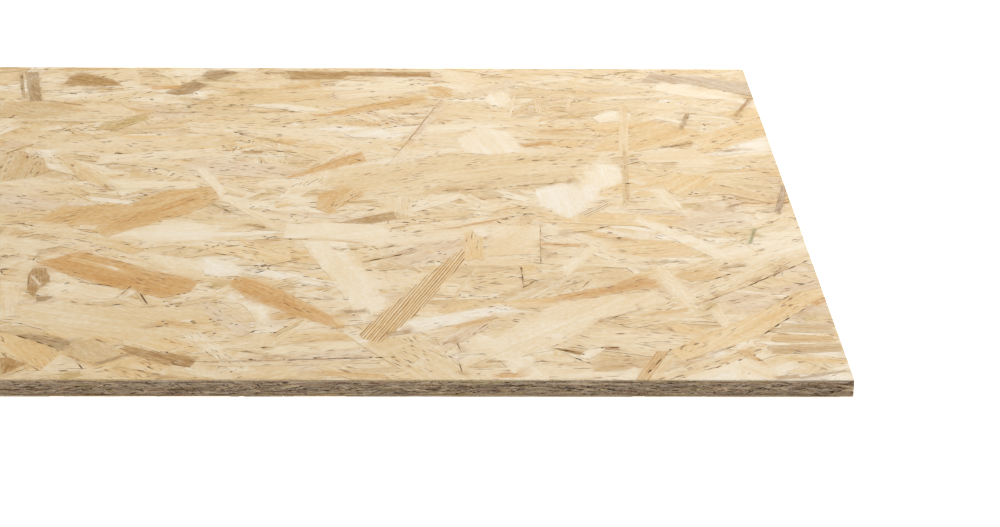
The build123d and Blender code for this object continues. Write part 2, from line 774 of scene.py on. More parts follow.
@dataclass
class StrandPattern:
    """Finds what shows of each strand in a field, as flat triangles.

    Attributes:
        length: The field's length.
        width: The field's width.
        strands: What lies in it. A triangle's owner is a strand's number from 1, or 0 where nothing lies.
        crumb: Area below which a scrap of a strand joins the strand that it borders on most.
        grit: Distance between loose points inside the strands, which hold their own colour, or 0 for none.
        points: Flat points of the triangles, once found.
        triangles: Three point numbers each, anticlockwise.
        owners: What shows in each triangle.
    """

    length: float
    width: float
    strands: list[Strand]
    crumb: float
    grit: float
    points: list[Vector] = field(default_factory=list)
    triangles: list[list[int]] = field(default_factory=list)
    owners: list[int] = field(default_factory=list)

    # Nearest that two points may come before they are merged, in metres
    WELD = 0.000002
    # Bend below which a point on a line isn't needed, in radians
    STRAIGHT = 0.01
    # Share of an outline's own area above which its filling has run out of it
    LEAK_SHARE = 1.05

    def find(self) -> None:
        """Cuts the field along every outline, keeps the cuts where what shows changes, and fills between."""
        points, triangles, owners = self._cut_all()
        ways = self._borders(len(points), triangles, owners)
        self._straighten(points, ways)
        self._fill(points, ways)
        self._sweep()

    def _cut_all(self) -> tuple[list[Vector], np.ndarray, np.ndarray]:
        """Cuts the field along the whole of every outline.

        Returns:
            The points, the triangles, and the topmost strand in each triangle.
        """
        half_x, half_y = self.length / 2, self.width / 2
        border = ((-half_x, -half_y), (half_x, -half_y), (half_x, half_y), (-half_x, half_y))
        corners = [Vector(p) for p in border]
        loops = [[0, 1, 2, 3]]
        ranks = [-1.0]
        for strand in self.strands:
            loops.append(list(range(len(corners), len(corners) + len(strand.outline))))
            corners.extend(Vector(p) for p in strand.outline)
            ranks.append(strand.rank)
        points, _, triangles, _, _, inside = delaunay_2d_cdt(corners, [], loops, 1, self.WELD)
        cut = np.array(triangles, dtype=np.int64)
        counts = np.array([len(o) for o in inside])
        layers = np.fromiter((o for each in inside for o in each), np.int64, counts.sum())
        firsts = np.cumsum(counts) - counts
        order = np.argsort(ranks)
        heights = np.argsort(order)
        heights[self._is_leaky(points, cut, counts, layers, corners, loops)] = -1
        tops = order[np.maximum.reduceat(heights[layers], firsts)]
        kept = np.logical_or.reduceat(layers == 0, firsts)
        return points, cut[kept], tops[kept]

    def _is_leaky(
        self,
        points: list[Vector],
        cut: np.ndarray,
        counts: np.ndarray,
        layers: np.ndarray,
        corners: list[Vector],
        loops: list[list[int]],
    ) -> np.ndarray:
        """Finds the few outlines whose filling ran out of them, where lines fall too close together.

        Args:
            points: The points of the cut field.
            cut: Its triangles.
            counts: How many strands lie in each triangle.
            layers: Those strands, triangle by triangle.
            corners: Corners of all the outlines.
            loops: Numbers of each outline's corners.

        Returns:
            True for each outline that is spoilt.
        """
        spots = np.array([tuple(p) for p in points])
        one, two = spots[cut[:, 1]] - spots[cut[:, 0]], spots[cut[:, 2]] - spots[cut[:, 0]]
        areas = (one[:, 0] * two[:, 1] - one[:, 1] * two[:, 0]) / 2
        filled = np.bincount(layers, np.repeat(areas, counts), len(loops))
        rounds = [zip(loop, loop[1:] + loop[:1]) for loop in loops]
        drawn = np.array([sum(corners[a].cross(corners[b]) for a, b in r) / 2 for r in rounds])
        return filled > drawn * self.LEAK_SHARE + MM * MM

    @staticmethod
    def _borders(count: int, corners: np.ndarray, owners: np.ndarray) -> dict[Way, int]:
        """Finds the lines where what shows changes.

        Args:
            count: How many points there are.
            corners: Three point numbers for each triangle.
            owners: What shows in each triangle.

        Returns:
            For each such line, in both directions, what shows on its left, or -1 outside the field.
        """
        starts = corners.ravel()
        ends = np.roll(corners, -1, axis=1).ravel()
        lefts = np.repeat(owners, 3)
        there = starts * count + ends
        back = ends * count + starts
        order = np.argsort(there)
        spot = np.minimum(np.searchsorted(there[order], back), len(order) - 1)
        twin = order[spot]
        rights = np.where(there[twin] == back, lefts[twin], -1)
        shown = np.flatnonzero(rights != lefts)
        ways = {}
        for a, b, left, right in zip(starts[shown], ends[shown], lefts[shown], rights[shown]):
            ways[int(a), int(b)] = int(left)
            ways[int(b), int(a)] = int(right)
        return ways

    def _straighten(self, points: list[Vector], ways: dict[Way, int]) -> None:
        """Takes out the points in the middle of straight lines.

        Args:
            points: The flat points.
            ways: The lines and what shows on their left, which is changed.
        """
        near: dict[int, set[int]] = {}
        for a, b in ways:
            near.setdefault(a, set()).add(b)
        for point, ends in near.items():
            if len(ends) != 2:
                continue
            one, two = ends
            if (one, two) in ways or not self._is_straight(points[one], points[point], points[two]):
                continue
            ways[one, two] = ways.pop((one, point))
            ways[two, one] = ways.pop((two, point))
            del ways[point, one], ways[point, two]
            near[one].remove(point)
            near[one].add(two)
            near[two].remove(point)
            near[two].add(one)

    def _is_straight(self, one: Vector, middle: Vector, two: Vector) -> bool:
        """Tests whether the line through three points hardly bends.

        Args:
            one: The point before.
            middle: The point that may bend it.
            two: The point after.

        Returns:
            True where it hardly bends.
        """
        before, after = middle - one, two - middle
        if not before.length or not after.length:
            return False
        return before.angle(after) < self.STRAIGHT

    def _fill(self, points: list[Vector], ways: dict[Way, int]) -> None:
        """Fills the field between the lines with triangles, and carries each line's owners into them.

        Args:
            points: The flat points.
            ways: The lines and what shows on their left.
        """
        used = sorted({a for a, _ in ways})
        number = {p: i for i, p in enumerate(used)}
        lines = [(a, b) for a, b in ways if a < b]
        pairs = [(number[a], number[b]) for a, b in lines]
        flats = [points[p] for p in used] + self._loose()
        self.points, edges, self.triangles, _, sources, _ = delaunay_2d_cdt(flats, pairs, [], 0, self.WELD)
        lefts: dict[Way, int] = {}
        for (a, b), source in zip(edges, sources):
            if not source:
                continue
            start, end = lines[source[0]]
            same = (self.points[b] - self.points[a]).dot(points[end] - points[start]) > 0.0
            lefts[a, b] = ways[(start, end) if same else (end, start)]
            lefts[b, a] = ways[(end, start) if same else (start, end)]
        self._spread(lefts)
        half_x, half_y = self.length / 2, self.width / 2
        for point in self.points:
            point.x = max(-half_x, min(half_x, point.x))
            point.y = max(-half_y, min(half_y, point.y))

    def _loose(self) -> list[Vector]:
        """Strews points over the field, one in each square of a grid.

        Returns:
            The points.
        """
        if not self.grit:
            return []
        rng = random.Random(len(self.strands))
        columns, rows = round(self.length / self.grit), round(self.width / self.grit)
        return [
            Vector(((rng.random() + i) / columns - 0.5, (rng.random() + j) / rows - 0.5))
            * Vector((self.length, self.width))
            for i in range(columns) for j in range(rows)
        ]

    def _holders(self) -> dict[Way, int]:
        """Finds the triangle on the left of each directed line.

        Returns:
            The triangles' numbers.
        """
        holders = {}
        for t, (a, b, c) in enumerate(self.triangles):
            holders[a, b] = t
            holders[b, c] = t
            holders[c, a] = t
        return holders

    def _spread(self, lefts: dict[Way, int]) -> None:
        """Spreads the owners from the lines to every triangle between them.

        Args:
            lefts: What shows on the left of each directed line.
        """
        holders = self._holders()
        owners = [-1] * len(self.triangles)
        queue = []
        for way, owner in lefts.items():
            t = holders.get(way)
            if t is not None and owner >= 0 and owners[t] < 0:
                owners[t] = owner
                queue.append(t)
        while queue:
            t = queue.pop()
            a, b, c = self.triangles[t]
            for way in ((b, a), (c, b), (a, c)):
                beside = holders.get(way)
                if beside is not None and owners[beside] < 0 and way not in lefts:
                    owners[beside] = owners[t]
                    queue.append(beside)
        self.triangles = [t for t, o in zip(self.triangles, owners) if o >= 0]
        self.owners = [o for o in owners if o >= 0]

    def _sweep(self) -> None:
        """Gives crumbs too small to see to the strand that they border on most."""
        holders = self._holders()
        seen = [False] * len(self.triangles)
        for first in range(len(self.triangles)):
            if seen[first]:
                continue
            seen[first] = True
            patch, area, rims = [first], 0.0, {}
            for t in patch:
                a, b, c = self.triangles[t]
                area += (self.points[b] - self.points[a]).cross(self.points[c] - self.points[a]) / 2
                for start, end in ((a, b), (b, c), (c, a)):
                    beside = holders.get((end, start))
                    if beside is None:
                        continue
                    owner = self.owners[beside]
                    if owner != self.owners[first]:
                        rims[owner] = rims.get(owner, 0.0) + (self.points[end] - self.points[start]).length
                    elif not seen[beside]:
                        seen[beside] = True
                        patch.append(beside)
            if area < self.crumb and rims:
                heir = max(rims, key=rims.get)
                for t in patch:
                    self.owners[t] = heir


@dataclass
class PressedSkin:
    """Presses the strands of a field into one closed plate with their relief on its face.

    Attributes:
        place: Where it lies.
        pattern: What shows of the strands.
        base: The plate's thickness.
        relief: How far the lowest strand lies below the face.
        bed: How far a gap lies below the face.
        bed_tone: Colour of the mat where no strand lies on it.
        face_finish: Number of the finish on the face.
        side_finish: Number of the finish on the plate's sides.
        painted_wall_shade: Share of a strand's lightness that its own edge keeps, as painted shade on the
            step.
        side_shade: Share of it that the plate's sides keep, partly for the darker sawn wood and partly as
            painted shade on the upright sides.
    """

    place: Field
    pattern: StrandPattern
    base: float
    relief: float
    bed: float
    bed_tone: Colour
    face_finish: int
    side_finish: int
    # Darkening of a strand's upright step, as painted shade
    painted_wall_shade: float = 0.92
    # Darkening of the plate's upright sides: partly darker sawn wood, partly painted shade
    side_shade: float = 0.6
    _columns: dict[int, dict[float, int]] = field(default_factory=dict)
    _around: dict[int, set[int]] = field(default_factory=dict)
    _heights: list[float] = field(default_factory=list)

    # Steps of height that the strands lie at
    STEPS = 5
    # Turns by which each strand's grain starts somewhere else, and how far off, in metres
    GOLDEN = 0.6180339887
    SKIP = 7.0
    FAR_ALONG = 9.0
    FAR_ACROSS = 5.0

    def add_to(self, piece: Piece) -> None:
        """Gives each strand its height, and closes the steps between them, the sides and the back.

        Args:
            piece: What the faces are added to.
        """
        pattern = self.pattern
        self._heights = [-self.relief] + [self._height(s) for s in pattern.strands]
        holders: dict[Way, int] = {}
        for owner, (a, b, c) in zip(pattern.owners, pattern.triangles):
            for start, end in ((a, b), (b, c), (c, a)):
                holders[start, end] = owner
                self._around.setdefault(start, set()).add(owner)
                self._stand(piece, start, self._heights[owner])
        border = [(a, b) for a, b in holders if (b, a) not in holders]
        for a, b in border:
            self._stand(piece, a, -self.base)
            self._stand(piece, b, -self.base)

        for owner, triangle in zip(pattern.owners, pattern.triangles):
            self._add_top(piece, owner, triangle)
        for (a, b), owner in holders.items():
            other = holders.get((b, a))
            if other is not None and self._heights[owner] > self._heights[other]:
                self._add_step(piece, a, b, owner, self._heights[other])
        self._add_sides(piece, border, holders)

    def _height(self, strand: Strand) -> float:
        """Works out how high a strand lies, which is never above the surface.

        Args:
            strand: The strand.

        Returns:
            Its height over the surface, 0 or less.
        """
        if strand.is_gap:
            return -self.bed
        depth = 1.0 - min(strand.rank, 1.0)
        return -self.relief * math.floor(depth * self.STEPS) / self.STEPS

    def _stand(self, piece: Piece, point: int, height: float) -> None:
        """Adds the piece's point over a flat point at a height, if it isn't there yet.

        Args:
            piece: What it is added to.
            point: The flat point.
            height: Height over the surface.
        """
        column = self._columns.setdefault(point, {})
        if height not in column:
            flat = self.pattern.points[point]
            column[height] = piece.point(self.place.place(flat.x, flat.y, height))

    def _wood(self, owner: int) -> Strand:
        """The strand of that number, or bare bed for 0."""
        if owner:
            return self.pattern.strands[owner - 1]
        return Strand([], 0.0, 0.0, (0.0, 0.0), self.bed_tone)

    def _grain(self, owner: int, point: int, height: float = 0.0) -> Point:
        """Finds a point in its strand's own grain, which starts somewhere else on each strand.

        Args:
            owner: The strand.
            point: The flat point.
            height: Height over the surface.

        Returns:
            The place in the grain map.
        """
        wood = self._wood(owner)
        flat = self.pattern.points[point]
        away_x, away_y = flat.x - wood.middle[0], flat.y - wood.middle[1]
        cos, sin = math.cos(wood.turn), math.sin(wood.turn)
        shift = owner * self.GOLDEN
        return (
            away_x * cos + away_y * sin + math.modf(shift)[0] * self.FAR_ALONG,
            away_y * cos - away_x * sin + math.modf(shift * self.SKIP)[0] * self.FAR_ACROSS + height,
        )

    def _tone(self, owner: int, point: int, shade: float = 1.0) -> Colour:
        """The colour of a strand at a point, which runs a little into its neighbours' at its edge.

        Args:
            owner: The strand.
            point: The flat point.
            shade: Share of the lightness that is kept: painted shade on a step, and on the plate's sides
                partly painted shade and partly the darker sawn wood.

        Returns:
            The linear colour.
        """
        wood = self._wood(owner)
        others = [] if wood.is_gap else [self._wood(o) for o in self._around[point] if o != owner]
        tones = [o.tone for o in others if not o.is_gap]
        if not tones:
            return tuple(c * shade for c in wood.tone)
        means = [sum(t[k] for t in tones) / len(tones) for k in range(3)]
        return tuple((c + (m - c) * wood.soft) * shade for c, m in zip(wood.tone, means))

    def _add_top(self, piece: Piece, owner: int, triangle: list[int]) -> None:
        """Adds one triangle of what shows of a strand.

        Args:
            piece: What it is added to.
            owner: The strand.
            triangle: Its three flat points.
        """
        height = self._heights[owner]
        piece.faces.append(Face(
            corners=[self._columns[p][height] for p in triangle],
            grain=[self._grain(owner, p) for p in triangle],
            bake=[self.place.bake(*self.pattern.points[p]) for p in triangle],
            tones=[self._tone(owner, p) for p in triangle],
            figure=self._wood(owner).figure,
            finish=self.face_finish,
        ))

    def _walk(self, start: int, end: int, upper: float, lower: float) -> list[tuple[int, float]]:
        """Walks round an upright face, past every point that stands on its two ends.

        Args:
            start: Flat point where it starts, with the upper strand on its left.
            end: Flat point where it ends.
            upper: Height of its top.
            lower: Height of its foot.

        Returns:
            The flat points and heights of its corners.
        """
        down = sorted((h for h in self._columns[start] if lower <= h <= upper), reverse=True)
        up = sorted(h for h in self._columns[end] if lower <= h <= upper)
        return [(start, h) for h in down] + [(end, h) for h in up]

    def _add_step(self, piece: Piece, start: int, end: int, owner: int, lower: float) -> None:
        """Adds the edge of a strand where it stands over a lower one, darkened as painted shade.

        Args:
            piece: What it is added to.
            start: Flat point where it starts, with the strand on its left.
            end: Flat point where it ends.
            owner: The strand.
            lower: Height of what it stands over.
        """
        walk = self._walk(start, end, self._heights[owner], lower)
        bake = [self.place.bake(*self.pattern.points[p]) for p, _ in walk]
        # The step's colour is darkened as painted shade
        self._add_upright(piece, owner, walk, bake, self.painted_wall_shade, self.face_finish)

    def _add_upright(
        self,
        piece: Piece,
        owner: int,
        walk: list[tuple[int, float]],
        bake: list[Point],
        shade: float,
        finish: int,
    ) -> None:
        """Adds an upright face of a strand's wood.

        Args:
            piece: What it is added to.
            owner: The strand.
            walk: Flat points and heights of its corners.
            bake: Where the corners fall in the bake map.
            shade: Share of the strand's lightness that it keeps: painted shade on a step, and on the plate's
                sides partly painted shade and partly the darker sawn wood.
            finish: Number of its finish.
        """
        piece.faces.append(Face(
            corners=[self._columns[p][h] for p, h in walk],
            grain=[self._grain(owner, p, h) for p, h in walk],
            bake=bake,
            tones=[self._tone(owner, p, shade) for p, _ in walk],
            figure=self._wood(owner).figure,
            finish=finish,
        ))

    def _add_sides(self, piece: Piece, border: list[Way], holders: dict[Way, int]) -> None:
        """Adds the plate's sawn sides, and closes its back with a fan that nothing sees.

        Args:
            piece: What they are added to.
            border: The lines round the field, with the field on their left.
            holders: What shows on the left of each line.
        """
        middle = piece.point(self.place.place(0.0, 0.0, -self.base))
        for start, end in border:
            owner = holders[start, end]
            walk = self._walk(start, end, self._heights[owner], -self.base)
            flats = [self.pattern.points[p] for p, _ in walk]
            centre = (self.pattern.points[start] + self.pattern.points[end]) / 2
            side = self.place.side(centre.x, centre.y)
            shares = [h / self.base + 1.0 for _, h in walk]
            bake = [self.place.bake_side(f.x, f.y, side, s) for f, s in zip(flats, shares)]
            # The plate's sides are darkened, partly for the sawn wood and partly as painted shade
            self._add_upright(piece, owner, walk, bake, self.side_shade, self.side_finish)
            piece.faces.append(Face(
                corners=[middle, self._columns[end][-self.base], self._columns[start][-self.base]],
                grain=[(0.0, 0.0)] * 3,
                bake=[(1.0, 1.0)] * 3,
                tones=[self.bed_tone] * 3,
                figure=0.0,
                finish=self.side_finish,
            ))


@dataclass(frozen=True)
class WoodFinish:
    """Bare wood whose colour comes from each strand, deeper and paler along its fibres.

    Attributes:
        name: The material's name.
        streak: Repeats of the broad streaks along and across the fibres, per metre.
        fibre: Repeats of the fine fibres along and across, per metre.
        blotch: Repeats of the broad mottle along and across, per metre.
        mottle: Repeats of the fine mottle along and across, per metre.
        dash: Repeats of the short dark dashes along and across, per metre.
        streak_depth: How much the streaks deepen the colour, as a power of it.
        fibre_depth: The same for the fibres.
        blotch_depth: The same for the mottle.
        mottle_depth: The same for the fine mottle.
        ring: Distance between growth-ring lines, in metres.
        line: Share of the light that a ring line or a dash gives back.
        line_depth: Strength of the lines and dashes.
        roughness: Smoothest and roughest.
        specular: Strength of the gloss.
        bump: Strength of the fibres' relief.
        bump_height: Height of the fibres' relief, in metres.
    """

    name: str
    streak: Point = (9.0, 200.0)
    fibre: Point = (48.0, 1200.0)
    blotch: Point = (14.0, 32.0)
    mottle: Point = (230.0, 420.0)
    dash: Point = (90.0, 560.0)
    streak_depth: float = 0.32
    fibre_depth: float = 0.28
    blotch_depth: float = 0.28
    mottle_depth: float = 0.38
    ring: float = 0.0021
    line: Colour = (0.38, 0.25, 0.14)
    line_depth: float = 0.95
    roughness: tuple[float, float] = (0.46, 0.64)
    specular: float = 0.3
    bump: float = 0.3
    bump_height: float = 0.00015

    # Octaves of the roughest, the middle and the smoothest noise
    ROUGH = 3.0
    MIDDLE = 2.0
    SMOOTH = 1.0
    # Repeats of the clusters of dashes along and across, per metre
    CLUSTER = (25.0, 60.0)
    # Noise at which dashes and their clusters start to show and show in full, and height of a ring's wave
    DASH_STEP = (0.62, 0.72)
    CLUSTER_STEP = (0.45, 0.6)
    RING_STEP = (0.3, 1.0)
    # How far the mottle and the streaks bend the ring lines, in radians
    MOTTLE_BEND = 9.0
    STREAK_BEND = 8.0

    def material(self) -> bpy.types.Material:
        """Builds the material.

        Returns:
            A node material that reads the pieces' tone, figure and grain.
        """
        material = bpy.data.materials.new(self.name)
        material.use_nodes = True
        tree = material.node_tree
        tree.nodes.clear()
        sketch = TreeSketch(tree)
        tone = sketch.add("ShaderNodeAttribute", attribute_name="tone").outputs["Color"]
        figure = sketch.add("ShaderNodeAttribute", attribute_name="figure").outputs["Fac"]
        grain = sketch.add("ShaderNodeUVMap", uv_map="grain").outputs["UV"]

        streak = self._noise(sketch, grain, self.streak, self.ROUGH)
        fibre = self._noise(sketch, grain, self.fibre, self.MIDDLE)
        blotch = self._noise(sketch, grain, self.blotch, self.MIDDLE)
        mottle = self._noise(sketch, grain, self.mottle, self.MIDDLE)
        dash = self._noise(sketch, grain, self.dash, self.SMOOTH)
        cluster = self._noise(sketch, grain, self.CLUSTER, self.SMOOTH)
        shown = sketch.math("MAXIMUM", figure, 0.0)
        rings = sketch.math("MULTIPLY", self._rings(sketch, grain, blotch, streak), shown)
        plain = sketch.math("SUBTRACT", 1.0, sketch.math("ABSOLUTE", figure))
        dashes = self._above(sketch, dash, *self.DASH_STEP)
        dashes = sketch.math("MULTIPLY", dashes, self._above(sketch, cluster, *self.CLUSTER_STEP))
        dashes = sketch.math("MULTIPLY", dashes, plain)
        depth = 1.0
        depths = (
            (streak, self.streak_depth),
            (fibre, self.fibre_depth),
            (blotch, self.blotch_depth),
            (mottle, self.mottle_depth),
        )
        for noise, power in depths:
            swing = sketch.math("MULTIPLY", sketch.math("SUBTRACT", noise, 0.5), power * 2.0)
            depth = sketch.math("ADD", depth, swing)
        wood = sketch.add("ShaderNodeGamma", {"Color": tone, "Gamma": depth})
        lines = sketch.math("MAXIMUM", rings, dashes)
        colour = sketch.add("ShaderNodeMixRGB", {
            "Fac": sketch.math("MULTIPLY", lines, self.line_depth),
            "Color1": wood.outputs["Color"],
            "Color2": (*self.line, 1.0),
        }, blend_type="MULTIPLY")
        smooth, rough = self.roughness
        gloss = sketch.add("ShaderNodeMapRange", {"Value": streak, "To Min": smooth, "To Max": rough})
        bump = sketch.add("ShaderNodeBump", {
            "Strength": self.bump,
            "Distance": self.bump_height,
            "Height": sketch.math("ADD", fibre, streak),
        })
        shader = sketch.add("ShaderNodeBsdfPrincipled", {
            "Base Color": colour.outputs["Color"],
            "Roughness": sketch.out(gloss, "Result"),
            "Normal": bump.outputs["Normal"],
            "Specular IOR Level": self.specular,
        })
        sketch.add("ShaderNodeOutputMaterial", {"Surface": shader.outputs["BSDF"]})
        return material

    @staticmethod
    def _noise(sketch: TreeSketch, grain: Socket, scale: Point, detail: float) -> Socket:
        """Adds noise that is drawn out along the fibres.

        Args:
            sketch: The material's tree.
            grain: The grain map.
            scale: Repeats per metre, along and across.
            detail: Octaves.

        Returns:
            The noise, from 0 to 1.
        """
        stretch = sketch.add("ShaderNodeMapping", {"Vector": grain, "Scale": (*scale, 1.0)})
        feeds = {"Vector": stretch.outputs["Vector"], "Scale": 1.0, "Detail": detail}
        return sketch.add("ShaderNodeTexNoise", feeds, noise_dimensions="2D").outputs["Fac"]

    @staticmethod
    def _above(sketch: TreeSketch, value: Socket, low: float, high: float) -> Socket:
        """Adds a soft step.

        Args:
            sketch: The material's tree.
            value: What is stepped.
            low: Where the step starts.
            high: Where it ends.

        Returns:
            0 below the step and 1 above it.
        """
        feeds = {"Value": value, "From Min": low, "From Max": high}
        step = sketch.add("ShaderNodeMapRange", feeds, interpolation_type="SMOOTHSTEP")
        return sketch.out(step, "Result")

    def _rings(self, sketch: TreeSketch, grain: Socket, wander: Socket, streak: Socket) -> Socket:
        """Adds growth-ring lines along the strand.

        Args:
            sketch: The material's tree.
            grain: The grain map.
            wander: Noise that bends the lines.
            streak: Noise that spaces them unevenly.

        Returns:
            1 on a line and 0 between lines.
        """
        split = sketch.add("ShaderNodeSeparateXYZ", {"Vector": grain})
        phase = sketch.math("MULTIPLY", split.outputs["Y"], math.tau / self.ring)
        bent = sketch.math("MULTIPLY_ADD", wander, self.MOTTLE_BEND, phase)
        bent = sketch.math("MULTIPLY_ADD", streak, self.STREAK_BEND, bent)
        return self._above(sketch, sketch.math("SINE", bent), *self.RING_STEP)


@dataclass(frozen=True)
class FloorFinish:
    """A plain pale studio floor that gives a little light of its own."""

    name: str = "pale_floor"
    shade: float = 0.9
    glow: float = 0.8
    roughness: float = 0.8
    specular: float = 0.1

    def material(self) -> bpy.types.Material:
        """Builds the material.

        Returns:
            A node material with the floor's own values.
        """
        material = bpy.data.materials.new(self.name)
        material.use_nodes = True
        values = {
            "Base Color": (self.shade, self.shade, self.shade, 1.0),
            "Emission Color": (1.0, 1.0, 1.0, 1.0),
            "Emission Strength": self.glow,
            "Roughness": self.roughness,
            "Specular IOR Level": self.specular,
        }
        for name, value in values.items():
            material.node_tree.nodes["Principled BSDF"].inputs[name].default_value = value
        return material


@dataclass
class PhotoCamera:
    """The camera as it stood for the photograph, measured from the panel's front right upper corner.

    Attributes:
        corner: That corner, in the panel's frame.
        away: From the corner to the camera, along and across the panel, in metres.
        height: Height of the camera over the corner.
        lens: Focal length in millimetres.
        sensor: Width of the sensor in millimetres.
        pitch: Degrees that it looks down.
        yaw: Degrees that it looks to the right of straight across.
        roll: Degrees that it leans to the left.
        clip: Nearest and farthest that it sees.
    """

    corner: Vector
    away: Point = (-0.2531, -1.3398)
    height: float = 0.6428
    lens: float = 85.32
    sensor: float = 36.0
    pitch: float = 22.82
    yaw: float = 1.26
    roll: float = 0.58
    clip: Point = (0.05, 60.0)

    def matrix(self) -> Matrix:
        """Works out the camera's place and turn.

        Returns:
            Both, as one matrix.
        """
        place = self.corner + Vector((*self.away, self.height))
        turn = (
            Matrix.Rotation(-math.radians(self.yaw), 4, "Z")
            @ Matrix.Rotation(math.radians(90.0 - self.pitch), 4, "X")
            @ Matrix.Rotation(math.radians(self.roll), 4, "Z")
        )
        return Matrix.Translation(place) @ turn

    def on_top(self, pixel: Point) -> Point:
        """Finds the point of the panel's top face that a pixel of the photograph shows.

        Args:
            pixel: Column and row in the photograph.

        Returns:
            The point's place along and across the panel.
        """
        scale = self.sensor / PHOTO_WIDTH / self.lens
        ray = Vector(((pixel[0] - PHOTO_WIDTH / 2) * scale, (PHOTO_HEIGHT / 2 - pixel[1]) * scale, -1.0))
        matrix = self.matrix()
        ray = matrix.to_3x3() @ ray
        eye = matrix.translation
        reach = (self.corner.z - eye.z) / ray.z
        return (eye.x + ray.x * reach, eye.y + ray.y * reach)

    def build(self) -> None:
        """Adds the camera to the scene."""
        data = bpy.data.cameras.new("photo_camera")
        data.lens = self.lens
        data.sensor_width = self.sensor
        data.sensor_fit = "HORIZONTAL"
        data.clip_start, data.clip_end = self.clip
        camera = bpy.data.objects.new("photo_camera", data)
        camera.matrix_world = self.matrix()
        bpy.context.scene.collection.objects.link(camera)
        bpy.context.scene.camera = camera


@dataclass(frozen=True)
class DrawnStrand:
    """A wide strand that stands out in the photograph, drawn round.

    Attributes:
        name: What it is.
        tone: Its wood.
        figure: Strength of its growth-ring lines.
        outline: Its corners as pixels of the photograph.
    """

    name: str
    tone: Tone
    figure: float
    outline: tuple[Point, ...]


@dataclass(frozen=True)
class DrawnStrip:
    """A narrow strand that stands out in the photograph, given by its ends.

    Attributes:
        name: What it is.
        tone: Its wood.
        figure: Strength of its growth-ring lines.
        start: One end, as a pixel of the photograph.
        end: The other end.
        width: Its width in millimetres.
        shape: How it ends.
    """

    name: str
    tone: Tone
    figure: float
    start: Point
    end: Point
    width: float
    shape: StrandShape = StrandShape.RAGGED


@dataclass(frozen=True)
class DrawnGap:
    """A dark gap that stands out in the photograph: its ends as pixels, and its width in millimetres. Its
    dark colour is painted shade.
    """

    start: Point
    end: Point
    width: float
    tone: Tone = Tone.GAP


